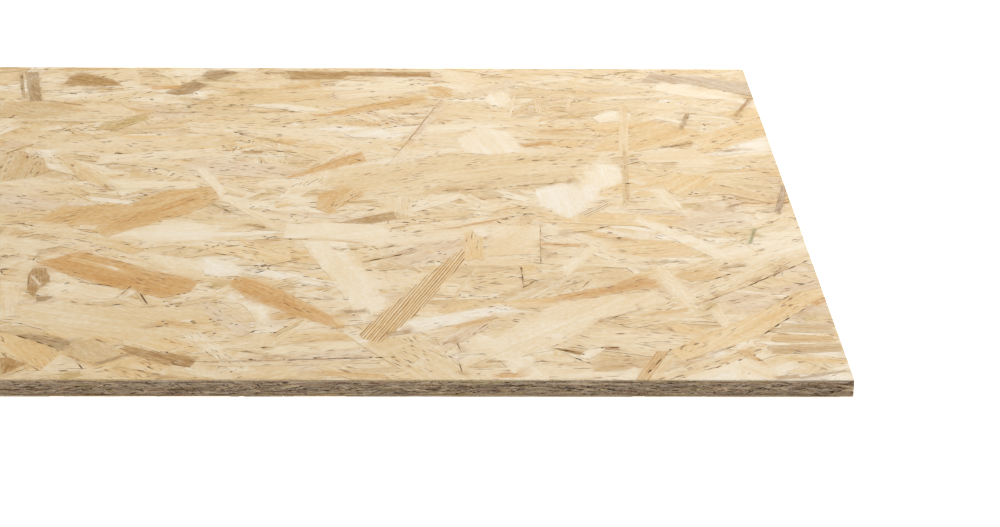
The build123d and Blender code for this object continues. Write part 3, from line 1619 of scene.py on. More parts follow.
# Wide strands that stand out in the photograph, lowest first
WIDE_STRANDS: tuple[DrawnStrand, ...] = tuple(DrawnStrand(*row) for row in (
    ("cream patch at the back", Tone.CREAM, 0.0, (
        (457, 140), (465, 153), (505, 156), (520, 148), (508, 131), (478, 127))),
    ("cream patch behind the leaning strands", Tone.CREAM, 0.0, (
        (576, 172), (580, 187), (605, 190), (622, 182), (618, 166), (590, 163))),
    ("small cream patch at the back", Tone.CREAM, 0.0, (
        (484, 100), (496, 108), (512, 104), (508, 93), (490, 91))),
    ("flat cream patch at the back", Tone.CREAM, 0.0, (
        (592, 118), (600, 123), (628, 120), (630, 113), (605, 110))),
    ("straw strand by the left front", Tone.STRAW, 0.0, (
        (18, 322), (60, 335), (150, 340), (215, 331), (203, 306), (120, 308), (60, 303), (22, 305))),
    ("brown patch at the left", Tone.BROWN, 0.3, (
        (27, 290), (34, 297), (40, 288), (50, 281), (47, 268), (33, 268), (28, 275))),
    ("yellow strand at the left front", Tone.HONEY, 0.05, (
        (0, 374), (40, 370), (63, 352), (30, 340), (0, 332))),
    ("brown wedge at the left edge", Tone.BROWN, 0.1, (
        (0, 375), (9, 372), (27, 364), (8, 357), (0, 358))),
    ("grey wedge on it", Tone.GREY, 0.2, (
        (16, 335), (40, 343), (63, 351), (86, 346), (60, 338), (30, 334))),
    ("rounded beige strand", Tone.WHEAT, 0.0, (
        (62, 352), (85, 361), (112, 360), (120, 349), (95, 340), (72, 342))),
    ("brown strand in front of it", Tone.BROWN, 0.3, (
        (124, 351), (140, 357), (160, 363), (190, 367), (197, 357), (170, 353), (150, 351), (124, 345))),
    ("long straw strand behind the middle", Tone.STRAW, 0.05, (
        (323, 186), (345, 191), (396, 196), (440, 193), (520, 187), (576, 181), (600, 155), (575, 151),
        (496, 154), (434, 157), (396, 163), (350, 165), (325, 168))),
    ("broad yellow strand at the right corner", Tone.HONEY, 0.05, (
        (669, 351), (682, 361), (737, 344), (762, 334), (805, 307), (826, 297), (817, 289), (794, 293),
        (769, 307), (748, 317), (687, 342))),
    ("wheat band at the left end", Tone.WHEAT, 0.05, (
        (0, 118), (40, 118), (78, 112), (62, 102), (0, 102))),
    ("wheat patch at the left end", Tone.WHEAT, 0.1, (
        (0, 181), (30, 178), (50, 171), (44, 158), (20, 150), (0, 153))),
    ("straw strand leaning left", Tone.STRAW, 0.05, (
        (48, 158), (80, 179), (108, 190), (119, 186), (100, 171), (60, 154))),
    ("long pale band before the middle", Tone.PALE, 0.0, (
        (486, 362), (510, 361), (560, 343), (599, 322), (647, 308), (668, 300), (655, 291), (610, 296),
        (556, 304), (520, 322), (490, 342))),
    ("pale block behind the middle", Tone.PALE, 0.0, ((487, 256), (540, 254), (539, 226), (492, 226))),
    ("cream curl in the middle front", Tone.CREAM, 0.0, (
        (236, 300), (246, 308), (254, 318), (256, 328), (270, 327), (272, 314), (262, 302), (246, 296))),
    ("pale end at the left edge", Tone.PALE, 0.0, ((0, 318), (10, 316), (19, 300), (17, 288), (0, 284))),
    ("pale strand at the right", Tone.PALE, 0.0, (
        (636, 158), (650, 166), (712, 168), (716, 157), (690, 149), (650, 151))),
    ("yellow strand at the right", Tone.HONEY, 0.05, (
        (662, 182), (672, 196), (692, 190), (717, 184), (712, 176), (680, 174))),
    ("rosy strand at the right", Tone.PINK, 0.05, (
        (664, 222), (690, 231), (752, 225), (748, 214), (700, 211))),
    ("pale strand behind the left strand", Tone.PALE, 0.0, (
        (146, 262), (170, 272), (199, 278), (206, 266), (180, 257), (152, 255))),
    ("wide yellow strand at the back", Tone.HONEY, 0.2, (
        (592, 152), (640, 151), (692, 141), (685, 128), (650, 121), (610, 128))),
    ("pinkish strand along the back right", Tone.ROSE, 0.0, (
        (640, 82), (690, 84), (756, 97), (750, 84), (700, 77), (650, 74))),
    ("cream strand below it", Tone.CREAM, 0.0, (
        (650, 90), (700, 99), (742, 100), (740, 95), (700, 87), (660, 82))),
    ("pale patch at the middle back", Tone.PALE, 0.0, (
        (440, 80), (470, 87), (492, 82), (470, 73), (445, 72))),
    ("wide tan strand on the left", Tone.TAN, 0.1, (
        (84, 227), (108, 237), (160, 221), (188, 214), (219, 199), (214, 186), (165, 191), (135, 203),
        (95, 205), (62, 207), (38, 220))),
    ("cream wedge under it", Tone.CREAM, 0.0, (
        (108, 237), (145, 241), (210, 240), (222, 226), (190, 222), (140, 227))),
    ("long cream strand in the middle", Tone.CREAM, 0.0, (
        (283, 238), (330, 240), (388, 240), (392, 226), (330, 223), (286, 224))),
    ("broad cream strand leaning left", Tone.CREAM, 0.0, ((362, 320), (389, 305), (345, 242), (300, 240))),
    ("orange sliver in the middle", Tone.ORANGE, 0.2, (
        (284, 178), (290, 178), (325, 170), (366, 161), (361, 152), (340, 158), (316, 166))),
    ("tan wedge", Tone.TAN, 0.15, (
        (316, 209), (330, 213), (350, 202), (363, 195), (361, 189), (340, 188), (318, 194))),
    ("brown wedge", Tone.BROWN, 0.3, ((338, 222.5), (372, 223.5), (397, 219), (394, 212), (384, 213))),
    ("straw band", Tone.STRAW, 0.3, (
        (420, 194), (460, 193), (520, 188), (576, 182), (574, 174), (500, 175), (440, 183))),
    ("white strand in the middle", Tone.WHITE, 0.0, (
        (535, 189), (540, 205), (560, 216), (577, 219), (601, 192), (600, 186), (560, 183))),
    ("yellow block", Tone.HONEY, 0.2, (
        (610, 251), (645, 257), (690, 257), (690, 244), (650, 240), (612, 243))),
    ("short cream strand leaning left", Tone.CREAM, 0.0, (
        (648, 190), (662, 203), (690, 218), (698, 216), (675, 198), (662, 188))),
    ("long cream strand leaning left", Tone.CREAM, 0.0, (
        (632, 221), (660, 233), (700, 251), (735, 266), (748, 263), (700, 240), (660, 224), (638, 217))),
    ("pale strand at the left front", Tone.PALE, 0.0, (
        (44, 297), (80, 299), (122, 299), (118, 288), (80, 284), (50, 283))),
    ("orange strand at the left front", Tone.ORANGE, 0.15, (
        (36, 262), (60, 272), (100, 284), (160, 298), (190, 292), (199, 281), (150, 269), (110, 258),
        (80, 251), (60, 257))),
    ("white strand beside it", Tone.WHITE, 0.0, (
        (200, 268), (204, 273), (218, 277), (238, 276), (241, 270), (232, 262), (208, 258))),
    ("white strand under it", Tone.WHITE, 0.0, (
        (225, 297), (236, 303), (258, 308), (263, 302), (245, 295), (232, 293))),
    ("orange strand in the middle front", Tone.ORANGE, 0.12, (
        (230, 283), (245, 298), (280, 310), (310, 320), (337, 329), (344, 327), (325, 312), (300, 299),
        (280, 289), (262, 282), (237, 276))),
    ("striped strand", Tone.HONEY, 1.0, (
        (358, 333), (362, 339), (382, 343), (425, 306), (471, 252), (462, 249), (425, 277), (395, 303))),
    ("long straw strand at the right front", Tone.STRAW, 0.1, (
        (660, 312), (698, 305), (745, 287), (809, 260), (806, 248), (760, 262), (705, 283), (672, 297))),
    ("tan patch behind it", Tone.TAN, 0.2, (
        (676, 276), (690, 281), (716, 279), (719, 268), (700, 270), (683, 270))),
    ("long orange sliver at the right front", Tone.ORANGE, 0.2, (
        (553, 302), (600, 296), (640, 289), (660, 287), (655, 281), (636, 276), (615, 285), (585, 290),
        (558, 295))),
    ("broad pale strand over the orange sliver", Tone.PALE, 0.0, (
        (648, 266), (668, 292), (690, 312), (703, 306), (680, 280), (664, 265))),
    ("brown strip along the back edge", Tone.BROWN, 0.3, (
        (291, 79.5), (342, 79), (347, 75.5), (431, 77), (431, 72), (345, 72), (287, 71))),
    ("grey strand standing up at the left", Tone.GREY, 0.4, ((30, 101), (42, 101), (38, 72), (25, 72))),
    ("brown strand at the back left", Tone.BROWN, 0.3, (
        (64, 84), (86, 86), (123, 86), (112, 79), (84, 73), (70, 76))),
    ("olive strand", Tone.OLIVE, 0.1, (
        (96, 130), (118, 129), (150, 119), (146, 113), (124, 119), (100, 125))),
    ("grey wedge at the back", Tone.GREY, 0.2, (
        (164, 93), (178, 95), (192, 94), (208, 85), (195, 81), (183, 84))),
    ("grey corner at the back", Tone.GREY, 0.1, ((202, 76), (214, 80), (240, 72), (222, 70), (208, 71))),
    ("tan wedge in the middle back", Tone.TAN, 0.2, (
        (429, 92), (436, 98), (450, 98), (453, 89), (440, 86), (428, 87))),
    ("pinkish strand leaning right", Tone.PINK, 0.0, (
        (389, 166), (400, 165), (445, 104), (441, 98), (430, 110))),
    ("cream strand at the front", Tone.CREAM, 0.0, (
        (496, 357), (515, 374), (528, 380), (549, 380), (535, 366), (518, 355))),
))

# Narrow strands that stand out in the photograph, lowest first
NARROW_STRANDS: tuple[DrawnStrip, ...] = tuple(DrawnStrip(*row) for row in (
    ("cream strip left of the middle", Tone.CREAM, 0.0, (200, 167), (226, 197), 8.0),
    ("pale strip after it", Tone.PALE, 0.0, (228, 200), (278, 228), 8.0),
    ("pale strip in the fan", Tone.PALE, 0.0, (714, 302), (726, 328), 6.0),
    ("orange streak in the wide strand", Tone.ORANGE, 0.2, (112, 226), (205, 194), 11.0),
    ("golden streak in the middle strand", Tone.ORANGE, 0.0, (240, 280), (286, 296), 7.0),
    ("dark streak in it", Tone.ORANGE, 0.0, (262, 293), (302, 308), 4.0, StrandShape.SLIVER),
    ("pale tip of it", Tone.HONEY, 0.0, (333, 318), (345, 326), 6.0, StrandShape.SLIVER),
    ("bright streak in the left strand", Tone.TAN, 0.0, (64, 257), (140, 275), 7.0),
    ("dark streak in the left strand", Tone.ORANGE, 0.0, (118, 283), (180, 292), 4.0),
    ("cream fleck in the left strand", Tone.CREAM, 0.0, (108, 266), (119, 270), 4.0),
    ("white sliver on it", Tone.WHITE, 0.0, (88, 198), (134, 203), 7.0),
    ("grey sliver at the left", Tone.GREY, 0.2, (21, 73), (24, 99), 3.0),
    ("brown streak at the back left", Tone.BROWN, 0.2, (92, 80), (118, 84), 7.0),
    ("pale chip", Tone.PALE, 0.0, (40, 80), (55, 79), 11.0),
    ("orange chip by the grey wedge", Tone.ORANGE, 0.2, (150, 88), (182, 87), 9.0),
    ("brown sliver", Tone.BROWN, 0.3, (242, 152), (264, 152), 5.0),
    ("olive sliver at the back", Tone.OLIVE, 0.1, (234, 93), (262, 93), 8.0),
    ("orange sliver at the back", Tone.ORANGE, 0.0, (316, 116), (340, 114), 4.0),
    ("pale strip leaning right", Tone.PINK, 0.0, (462, 99), (516, 80), 11.0),
    ("orange streak", Tone.ORANGE, 0.1, (542, 131), (582, 129), 5.0, StrandShape.SLIVER),
    ("short orange sliver at the back", Tone.ORANGE, 0.3, (520, 146), (553, 142), 9.0),
    ("upright strip", Tone.STRAW, 0.0, (624, 160), (623, 100), 8.0, StrandShape.CUT),
    ("upright wedge below it", Tone.WHEAT, 0.1, (624, 150), (627, 209), 6.0, StrandShape.WEDGE),
    ("left curl of the knot", Tone.STRAW, 0.0, (509, 117), (515, 93), 4.0, StrandShape.SLIVER),
    ("foot of the knot", Tone.WHEAT, 0.0, (511, 117), (532, 100), 8.0, StrandShape.SLIVER),
    ("heart of the knot", Tone.STRAW, 0.25, (541, 113), (539, 98), 12.0),
    ("right curl of the knot", Tone.PALE, 0.0, (567, 112), (569, 99), 3.0, StrandShape.SLIVER),
    ("grey strip at the right", Tone.GREY, 0.1, (680, 131), (688, 112), 4.0),
    ("brown line behind the right", Tone.BROWN, 0.0, (716, 151), (742, 149), 3.0, StrandShape.SLIVER),
    ("brown chip at the right edge", Tone.BROWN, 0.2, (734, 117), (751, 98), 4.0),
    ("cream chip on the left", Tone.CREAM, 0.0, (78, 227), (97, 228), 8.0),
    ("brown chip in the middle", Tone.BROWN, 0.2, (246, 224), (266, 228), 4.0),
    ("honey chip", Tone.HONEY, 0.1, (274, 206), (290, 203), 9.0),
    ("striped strip", Tone.STRAW, 0.9, (581, 217), (611, 202), 9.0),
    ("orange sliver at the right", Tone.ORANGE, 0.1, (540, 244), (582, 246), 5.0),
    ("olive sliver at the right", Tone.OLIVE, 0.2, (743, 185), (772, 188), 4.0),
    ("orange line at the right", Tone.ORANGE, 0.1, (739, 203), (792, 202), 3.0),
    ("umber strip at the right edge", Tone.UMBER, 0.3, (777, 215), (785, 184), 5.0),
    ("green sliver", Tone.GREEN, 0.0, (750, 244), (755, 228), 2.2),
    ("brown line at the right", Tone.BROWN, 0.1, (728, 207), (743, 203), 3.0),
    ("pale line across the brown patch", Tone.CREAM, 0.0, (31, 275), (41, 286), 2.0),
    ("first cream chip in the row", Tone.CREAM, 0.0, (48, 291), (72, 284), 13.0),
    ("second pale chip in the row", Tone.PALE, 0.0, (82, 287), (112, 292), 12.0),
    ("third cream chip in the row", Tone.CREAM, 0.0, (118, 297), (134, 289), 10.0),
    ("fourth pale chip in the row", Tone.PALE, 0.0, (142, 297), (162, 303), 11.0),
    ("short cream strip at the left", Tone.CREAM, 0.0, (196, 293), (217, 292), 6.0),
    ("grey block at the left", Tone.GREY, 0.4, (35, 299), (53, 297), 13.0, StrandShape.WEDGE),
    ("wheat strip at the left", Tone.WHEAT, 0.1, (137, 291), (148, 306), 4.0),
    ("tan chips", Tone.TAN, 0.2, (158, 322), (198, 325), 5.0),
    ("grey wedge in the middle", Tone.GREY, 0.1, (344, 312), (366, 311), 6.0, StrandShape.WEDGE),
    ("brown strip under the stripes", Tone.BROWN, 0.3, (384, 335), (413, 331), 7.0),
    ("upright honey strand", Tone.HONEY, 0.1, (474, 262), (474, 229), 14.0),
    ("white chip on it", Tone.WHITE, 0.0, (475, 233), (486, 232), 13.0),
    ("thin leaning strip", Tone.STRAW, 0.1, (441, 315), (480, 264), 3.0, StrandShape.SLIVER),
    ("honey strip", Tone.HONEY, 0.2, (438, 313), (481, 300), 9.0),
    ("tan strip", Tone.TAN, 0.2, (454, 328), (498, 316), 8.0),
    ("honey block", Tone.HONEY, 0.1, (520, 270), (537, 269), 15.0),
    ("pale strip leaning to the right", Tone.PALE, 0.0, (561, 277), (600, 242), 8.0),
    ("cream strip", Tone.CREAM, 0.0, (564, 269), (576, 257), 6.0),
    ("white strip under the wide strand", Tone.WHITE, 0.0, (158, 235), (284, 233), 7.0),
    ("olive block in the middle", Tone.OLIVE, 0.1, (211, 285), (229, 283), 12.0, StrandShape.WEDGE),
    ("first brown sliver at the front", Tone.BROWN, 0.1, (553, 348), (587, 354), 4.5, StrandShape.SLIVER),
    ("second brown sliver at the front", Tone.BROWN, 0.1, (594, 348), (622, 349), 4.0),
    ("olive chip behind the right", Tone.OLIVE, 0.1, (682, 206), (699, 205), 9.0),
    ("yellow chip behind the right", Tone.HONEY, 0.1, (634, 195), (652, 193), 9.0),
    ("cream chip behind the right", Tone.CREAM, 0.0, (654, 117), (684, 123), 8.0),
    # A painted shadow line along a strand's edge
    ("grey line at the left front", Tone.GREY, 0.1, (93, 365), (131, 353), 4.0),
    ("brown strip at the right", Tone.BROWN, 0.1, (720, 268), (746, 265), 4.0),
    ("tan streak at the right", Tone.TAN, 0.1, (636, 316), (692, 309), 5.0),
    ("olive chip at the right", Tone.OLIVE, 0.1, (703, 311), (715, 303), 6.0),
    ("olive chip at the right edge", Tone.OLIVE, 0.1, (803, 320), (817, 316), 6.0),
    ("orange chip at the right edge", Tone.ORANGE, 0.1, (812, 305), (828, 297), 6.0),
    ("lined straw strip", Tone.WHEAT, 0.5, (778, 327), (838, 329), 14.0),
    ("lined straw strip in front of it", Tone.HONEY, 0.8, (768, 338), (843, 339), 13.0),
    ("lined straw strip at the front", Tone.WHEAT, 0.6, (766, 350), (847, 347), 13.0),
    ("olive chip at the left front", Tone.OLIVE, 0.1, (58, 377), (82, 373), 9.0),
    ("straw strip under the long line", Tone.STRAW, 0.1, (200, 366), (396, 361), 5.0),
    ("straw chip at the front", Tone.STRAW, 0.0, (328, 364), (342, 365), 6.0),
    ("small striped chip", Tone.HONEY, 0.9, (272, 337), (306, 319), 9.0, StrandShape.WEDGE),
    ("tan streak at the front", Tone.TAN, 0.1, (318, 373), (392, 377), 6.0),
    ("wheat strand at the front", Tone.WHEAT, 0.2, (588, 367), (643, 362), 17.0),
    ("cream strip at the front", Tone.CREAM, 0.0, (472, 337), (503, 347), 15.0),
    ("small cream strip", Tone.CREAM, 0.0, (582, 359), (602, 346), 9.0),
    ("small cream strip at the edge", Tone.CREAM, 0.0, (626, 379), (640, 368), 9.0),
    ("orange chip at the front", Tone.ORANGE, 0.1, (498, 376), (522, 375), 6.0),
    ("tan strip leaning right", Tone.TAN, 0.4, (641, 382), (664, 349), 9.0, StrandShape.CUT),
    ("straw strip beside it", Tone.STRAW, 0.0, (653, 379), (673, 354), 5.0),
    ("pale strand at the right front", Tone.PALE, 0.0, (738, 363), (782, 379), 14.0),
    ("tan curl", Tone.TAN, 0.2, (738, 349), (761, 362), 5.0),
    ("brown chips at the front", Tone.BROWN, 0.2, (775, 378), (802, 376), 5.0),
    # A painted shadow line along a strand's edge
    ("grey line at the right corner", Tone.GREY, 0.1, (798, 378), (851, 370), 3.0),
))

# Dark gaps that stand out in the photograph, whose dark colour is painted shade
DARK_GAPS: tuple[DrawnGap, ...] = tuple(DrawnGap(*row) for row in (
    ((0, 155), (31, 145), 1.8), ((13, 222), (34, 226), 2.6), ((7, 117), (18, 117), 5.0),
    ((70, 92), (75, 92), 4.0), ((134, 97), (140, 97), 3.0), ((145, 98), (152, 99), 3.0),
    ((184, 107), (192, 108), 3.0, Tone.UMBER), ((106, 141), (110, 141), 3.0),
    ((127, 146), (134, 145), 3.5), ((114, 154), (124, 153), 6.0, Tone.UMBER),
    ((229, 104), (237, 105), 4.0), ((255, 137), (300, 147), 1.2, Tone.UMBER),
    ((270, 150), (298, 153), 1.6, Tone.UMBER), ((358, 161), (364, 159), 3.0),
    ((490, 105), (497, 105), 2.5), ((590, 78), (636, 70), 1.8, Tone.UMBER),
    ((655, 149), (691, 143), 1.4, Tone.BROWN), ((688, 119), (691, 116), 2.0),
    ((657, 163), (680, 162), 1.4, Tone.UMBER), ((743, 167), (750, 167), 2.4),
    ((140, 195), (147, 194), 4.5), ((149, 170), (155, 169), 4.5),
    ((17, 196), (24, 196), 3.0, Tone.UMBER), ((80, 182), (115, 191), 1.2, Tone.UMBER),
    ((285, 239), (308, 239), 1.4, Tone.UMBER), ((384, 248), (397, 245), 2.0),
    ((363, 262), (403, 254), 2.6, Tone.UMBER), ((335, 249), (360, 249), 1.0, Tone.UMBER),
    ((440, 191), (500, 188), 1.6, Tone.BROWN), ((505, 187), (570, 182), 1.6, Tone.UMBER),
    ((545, 258), (556, 252), 2.4), ((617, 237), (623, 237), 3.0), ((540, 237), (556, 235), 1.2),
    ((562, 234), (592, 230), 1.0, Tone.UMBER), ((437, 253), (445, 253), 2.6),
    ((744, 213), (756, 213), 2.6, Tone.UMBER), ((790, 219), (795, 217), 2.0),
    ((752, 246), (760, 244), 1.6, Tone.UMBER), ((640, 262), (690, 262), 1.0, Tone.UMBER),
    ((64, 283), (70, 284), 2.4), ((76, 281), (118, 287), 1.6, Tone.UMBER),
    ((118, 297), (131, 286), 1.4, Tone.UMBER), ((138, 290), (149, 307), 1.8, Tone.UMBER),
    ((152, 327), (165, 326), 2.0, Tone.UMBER), ((213, 321), (221, 319), 2.2),
    ((233, 325), (238, 322), 2.0), ((243, 336), (254, 331), 2.2),
    ((170, 360), (178, 366), 2.6, Tone.UMBER), ((62, 292), (68, 291), 2.0, Tone.UMBER),
    ((177, 294), (186, 294), 2.4), ((170, 304), (182, 303), 1.8), ((214, 302), (221, 302), 2.0),
    ((250, 269), (300, 259), 1.2, Tone.UMBER), ((272, 334), (278, 331), 2.0),
    ((314, 299), (331, 299), 1.4, Tone.UMBER), ((343, 298), (352, 300), 1.6),
    ((375, 271), (400, 269), 1.0, Tone.UMBER), ((500, 311), (507, 309), 2.0),
    ((600, 321), (640, 310), 1.2, Tone.UMBER), ((521, 266), (524, 288), 1.4, Tone.UMBER),
    ((522, 288), (536, 280), 1.4, Tone.UMBER), ((705, 282), (736, 272), 1.8),
    ((697, 305), (745, 287), 1.4, Tone.UMBER), ((745, 287), (809, 260), 1.5, Tone.UMBER),
    ((776, 303), (795, 293), 1.4, Tone.UMBER), ((761, 336), (790, 317), 1.6),
    ((790, 317), (811, 305), 1.2, Tone.UMBER), ((3, 331), (62, 350), 1.8, Tone.UMBER),
    ((3, 376), (31, 367), 1.4), ((70, 353), (84, 371), 1.4, Tone.UMBER), ((161, 351), (169, 352), 2.0),
    ((146, 365), (155, 365), 1.8), ((181, 367), (190, 367), 1.6),
    ((190, 362), (300, 359.5), 1.5, Tone.UMBER), ((290, 359.5), (396, 357), 1.5),
    ((232, 370), (238, 371), 1.8), ((386, 376), (395, 376), 1.6, Tone.UMBER),
    ((409, 362), (419, 362), 1.6), ((553, 348), (586, 355), 2.2, Tone.UMBER),
    ((594, 348), (622, 347), 2.6, Tone.UMBER), ((536, 361), (548, 361), 1.6),
    ((456, 340), (461, 352), 1.0, Tone.UMBER), ((458, 360), (463, 374), 1.0, Tone.UMBER),
    ((547, 338), (553, 338), 1.6), ((561, 337), (566, 337), 1.4, Tone.UMBER),
    ((646, 375), (671, 349), 1.4), ((684, 361), (706, 355), 1.2),
    ((712, 353), (741, 344), 1.2, Tone.UMBER), ((758, 360), (767, 360), 1.8),
    ((794, 352), (800, 352), 1.8), ((31, 262), (42, 250), 1.4, Tone.UMBER),
    ((42, 250), (61, 246), 1.6, Tone.UMBER), ((0, 258), (19, 254), 1.4, Tone.UMBER),
    ((160, 323), (166, 322), 3.0), ((185, 322), (196, 322), 3.5),
    ((553, 348), (585, 354), 1.4, Tone.UMBER), ((624, 184), (628, 182), 2.4),
    ((608, 155), (615, 154), 2.4, Tone.UMBER), ((690, 194), (697, 193), 3.0, Tone.UMBER),
    ((722, 196), (732, 199), 3.0, Tone.UMBER), ((540, 222), (541, 264), 0.8, Tone.UMBER),
    ((441, 100), (388, 165), 0.8, Tone.BROWN), ((490, 361), (511, 361), 1.0, Tone.UMBER),
))


@dataclass
class StrandPanel:
    """The dressed panel: strands on its two faces, and the sawn strands of its four edges.

    Attributes:
        low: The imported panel's lowest corner.
        high: Its highest corner.
        camera: Where the photograph was taken from.
        skin: Thickness of the plate that carries a face's strands.
        edge_plate: Thickness of the plate that carries an edge's strands.
        seed: Fixes every draw.
    """

    low: Vector
    high: Vector
    camera: PhotoCamera
    skin: float = 0.8 * MM
    edge_plate: float = 1.5 * MM
    seed: int = 11

    FACE_KINDS = (
        StrandKind("long strands", (StrandShape.CUT, StrandShape.RAGGED, StrandShape.SPLIT), 1150.0,
                   (0.085, 0.150), (0.010, 0.040), 0.42, (0.0, 0.9), FACE_TONES),
        StrandKind("cross strands", (StrandShape.CUT, StrandShape.RAGGED), 140.0,
                   (0.070, 0.130), (0.006, 0.024), 1.1, (0.2, 0.9), FACE_TONES),
        StrandKind("broken strands", (StrandShape.RAGGED, StrandShape.WEDGE, StrandShape.SPLIT), 950.0,
                   (0.030, 0.095), (0.003, 0.014), 0.50, (0.25, 0.95), FACE_TONES, (0.0, 0.15)),
        StrandKind("splinters", (StrandShape.SLIVER, StrandShape.WEDGE), 1000.0,
                   (0.010, 0.055), (0.0007, 0.0035), 0.55, (0.35, 0.98), SPLINTER_TONES),
        # Gaps sink to the bed, and their dark colour is painted shade
        StrandKind("gaps", (StrandShape.SLIVER,), 260.0,
                   (0.003, 0.014), (0.0007, 0.0022), 0.55, (0.5, 0.99), GAP_SHADE_TONES, is_gap=True),
    )

    EDGE_KINDS = (
        StrandKind("upper face strands", (StrandShape.CUT, StrandShape.WEDGE), 90000.0,
                   (0.016, 0.055), (0.0005, 0.0010), 0.016, (0.0, 0.85), SAWN_TONES, band=(0.20, 0.5)),
        StrandKind("lower face strands", (StrandShape.CUT, StrandShape.WEDGE), 90000.0,
                   (0.016, 0.055), (0.0005, 0.0010), 0.016, (0.0, 0.85), SAWN_TONES, band=(-0.5, -0.20)),
        StrandKind("core strands", (StrandShape.CUT, StrandShape.WEDGE, StrandShape.SLIVER), 200000.0,
                   (0.004, 0.018), (0.0005, 0.0012), 0.15, (0.0, 0.9), SAWN_TONES, band=(-0.30, 0.30)),
        StrandKind("core chips", (StrandShape.SLIVER, StrandShape.WEDGE), 110000.0,
                   (0.002, 0.008), (0.0003, 0.0008), 0.32, (0.4, 1.0), CHIP_TONES, band=(-0.38, 0.38)),
        # Voids and seams sink to the bed, and their dark colour is painted shade
        StrandKind("voids", (StrandShape.SLIVER, StrandShape.WEDGE), 80000.0,
                   (0.0012, 0.0060), (0.0003, 0.0008), 0.28, (0.6, 1.0), VOID_SHADE_TONES,
                   band=(-0.38, 0.38), is_gap=True),
        StrandKind("seams", (StrandShape.SLIVER,), 15000.0,
                   (0.006, 0.022), (0.00015, 0.00035), 0.02, (0.6, 1.0), VOID_SHADE_TONES, is_gap=True),
    )

    # Places of the face's and the sawn edges' finish among the panel's finishes
    FACE_WOOD = 0
    SAWN_WOOD = 1
    # Depth that the lowest face strand and the bottom of a gap lie below the face
    FACE_RELIEF = 0.22 * MM
    FACE_BED = 0.65 * MM
    # The same for the sawn edges, which the saw leaves flatter
    EDGE_RELIEF = 0.14 * MM
    EDGE_BED = 0.7 * MM
    # Area of the smallest scrap of a strand that is kept, on a face and on an edge
    FACE_CRUMB = 0.8 * MM * MM
    EDGE_CRUMB = 0.06 * MM * MM
    # Distance between the loose points inside the strands of a face
    FACE_GRIT = 9.0 * MM
    # Lightness that the edges of a sawn strand keep, as painted shade, and that the sides of an edge's plate
    # keep, partly painted shade and partly darker sawn wood
    EDGE_SHADES = {"painted_wall_shade": 0.6, "side_shade": 0.8}
    # Share of the bake map's height that a face and an edge take, and where the strip for the sides starts
    FACE_BAKE = (0.97, 0.975)
    EDGE_BAKE = (0.9, 0.92)
    # Steps between the seeds of the kinds, of the two faces and of the edges
    KIND_SEEDS = 100
    UNDER_SEED = 5000
    EDGE_SEED = 9000
    EDGE_SEEDS = 700

    # Share of its neighbours' colour at the edge of a pale wide, a pale narrow and a dark drawn strand
    WIDE_SOFT = 0.65
    STRIP_SOFT = 0.4
    DARK_SOFT = 0.25
    # How far the tone of a wide strand, a strip, a gap and the painted shadow line along a gap may stray
    WIDE_STRAY = 0.01
    STRIP_STRAY = 0.02
    GAP_STRAY = 0.15
    SHADOW_LINE_STRAY = 0.2
    # Length of a short side of a drawn outline, and how far it wanders
    FRAY_STEP = 9.0 * MM
    FRAY = 0.7 * MM

    # Shares of a drawn gap's width that are open, and lengths of its dashes in pixels of the photograph
    OPEN = (0.6, 1.2)
    DASH = (2.5, 15.0)
    # Mean distance between the dashes, how far they wander, and the share of the width that the painted
    # shadow line has
    APART = 9.0
    WANDER = 0.3
    LINE = 0.7
    # Length of a gap, in pixels of the photograph, below which it is a cluster of specks
    SPECKS = 12.0
    # Length of a speck, how far it lies away along and across, its lean, and shares of the gap's width
    SPECK_LENGTH = (2.5, 6.0)
    SPECK_AWAY = (4.0, 1.4)
    SPECK_LEAN = 0.8
    SPECK_SHARES = (0.35, 0.65)

    # Share of the strands with a cluster of flecks at one end, how many, and their sizes and spread
    CLUSTERS = 0.11
    FLECKS = (3, 7)
    FLECK_LENGTH = (1.5 * MM, 5.0 * MM)
    FLECK_WIDTH = (1.0 * MM, 2.2 * MM)
    FLECK_SPREAD = (6.0 * MM, 1.5 * MM)
    # Share of the strands with crevices along one side, how many at most, and their sizes; a crevice's dark
    # colour is painted shade
    CREVICES = 0.21
    CREVICE_ROW = 4
    CREVICE_LENGTH = (2.0 * MM, 9.0 * MM)
    CREVICE_WIDTH = (0.8 * MM, 1.9 * MM)
    # Where crevices lie: share of the half width, last start along the strand, share of a length between two
    CREVICE_SIDE = 0.97
    CREVICE_START = 0.7
    CREVICE_APART = 0.7
    # Share of the crevices with a bright chip beside them, which is pale wood and partly a painted highlight
    # on the crevice's lip, its length and shift as shares of the crevice
    CHIPS = 0.4
    CHIP_LENGTH = 0.7
    CHIP_SHIFT = 0.3
    # Where along a chip it is widest, below and above, and its half widths, as shares of its sizes
    CHIP_BELOW = (0.2, 0.5)
    CHIP_ABOVE = (0.5, 0.8)
    CHIP_BELLY = (0.3, 0.7)
    # How far in rank a chip lies above its strand, at least and by chance
    CHIP_RISE = (0.0005, 0.0004)
    # Rank between one drawn strand and the next
    DRAWN_RISE = 1000

    def __post_init__(self) -> None:
        """Makes the finishes and the laying tree."""
        self.size = self.high - self.low
        self.middle = (self.high + self.low) / 2
        self.face_wood = WoodFinish("face_strands").material()
        self.sawn_wood = WoodFinish(
            "sawn_strands", streak=(60.0, 1800.0), fibre=(220.0, 5200.0), blotch=(60.0, 300.0),
            mottle=(600.0, 1500.0), dash=(480.0, 2600.0), streak_depth=0.35, fibre_depth=0.3,
            blotch_depth=0.4, mottle_depth=0.45, ring=0.0012, line_depth=0.6,
            roughness=(0.7, 0.88), specular=0.15, bump=0.3, bump_height=0.0001,
        ).material()
        self.finishes = [self.face_wood, self.sawn_wood]
        self.layer = StrandLayer(LayingTree(), self.face_wood)

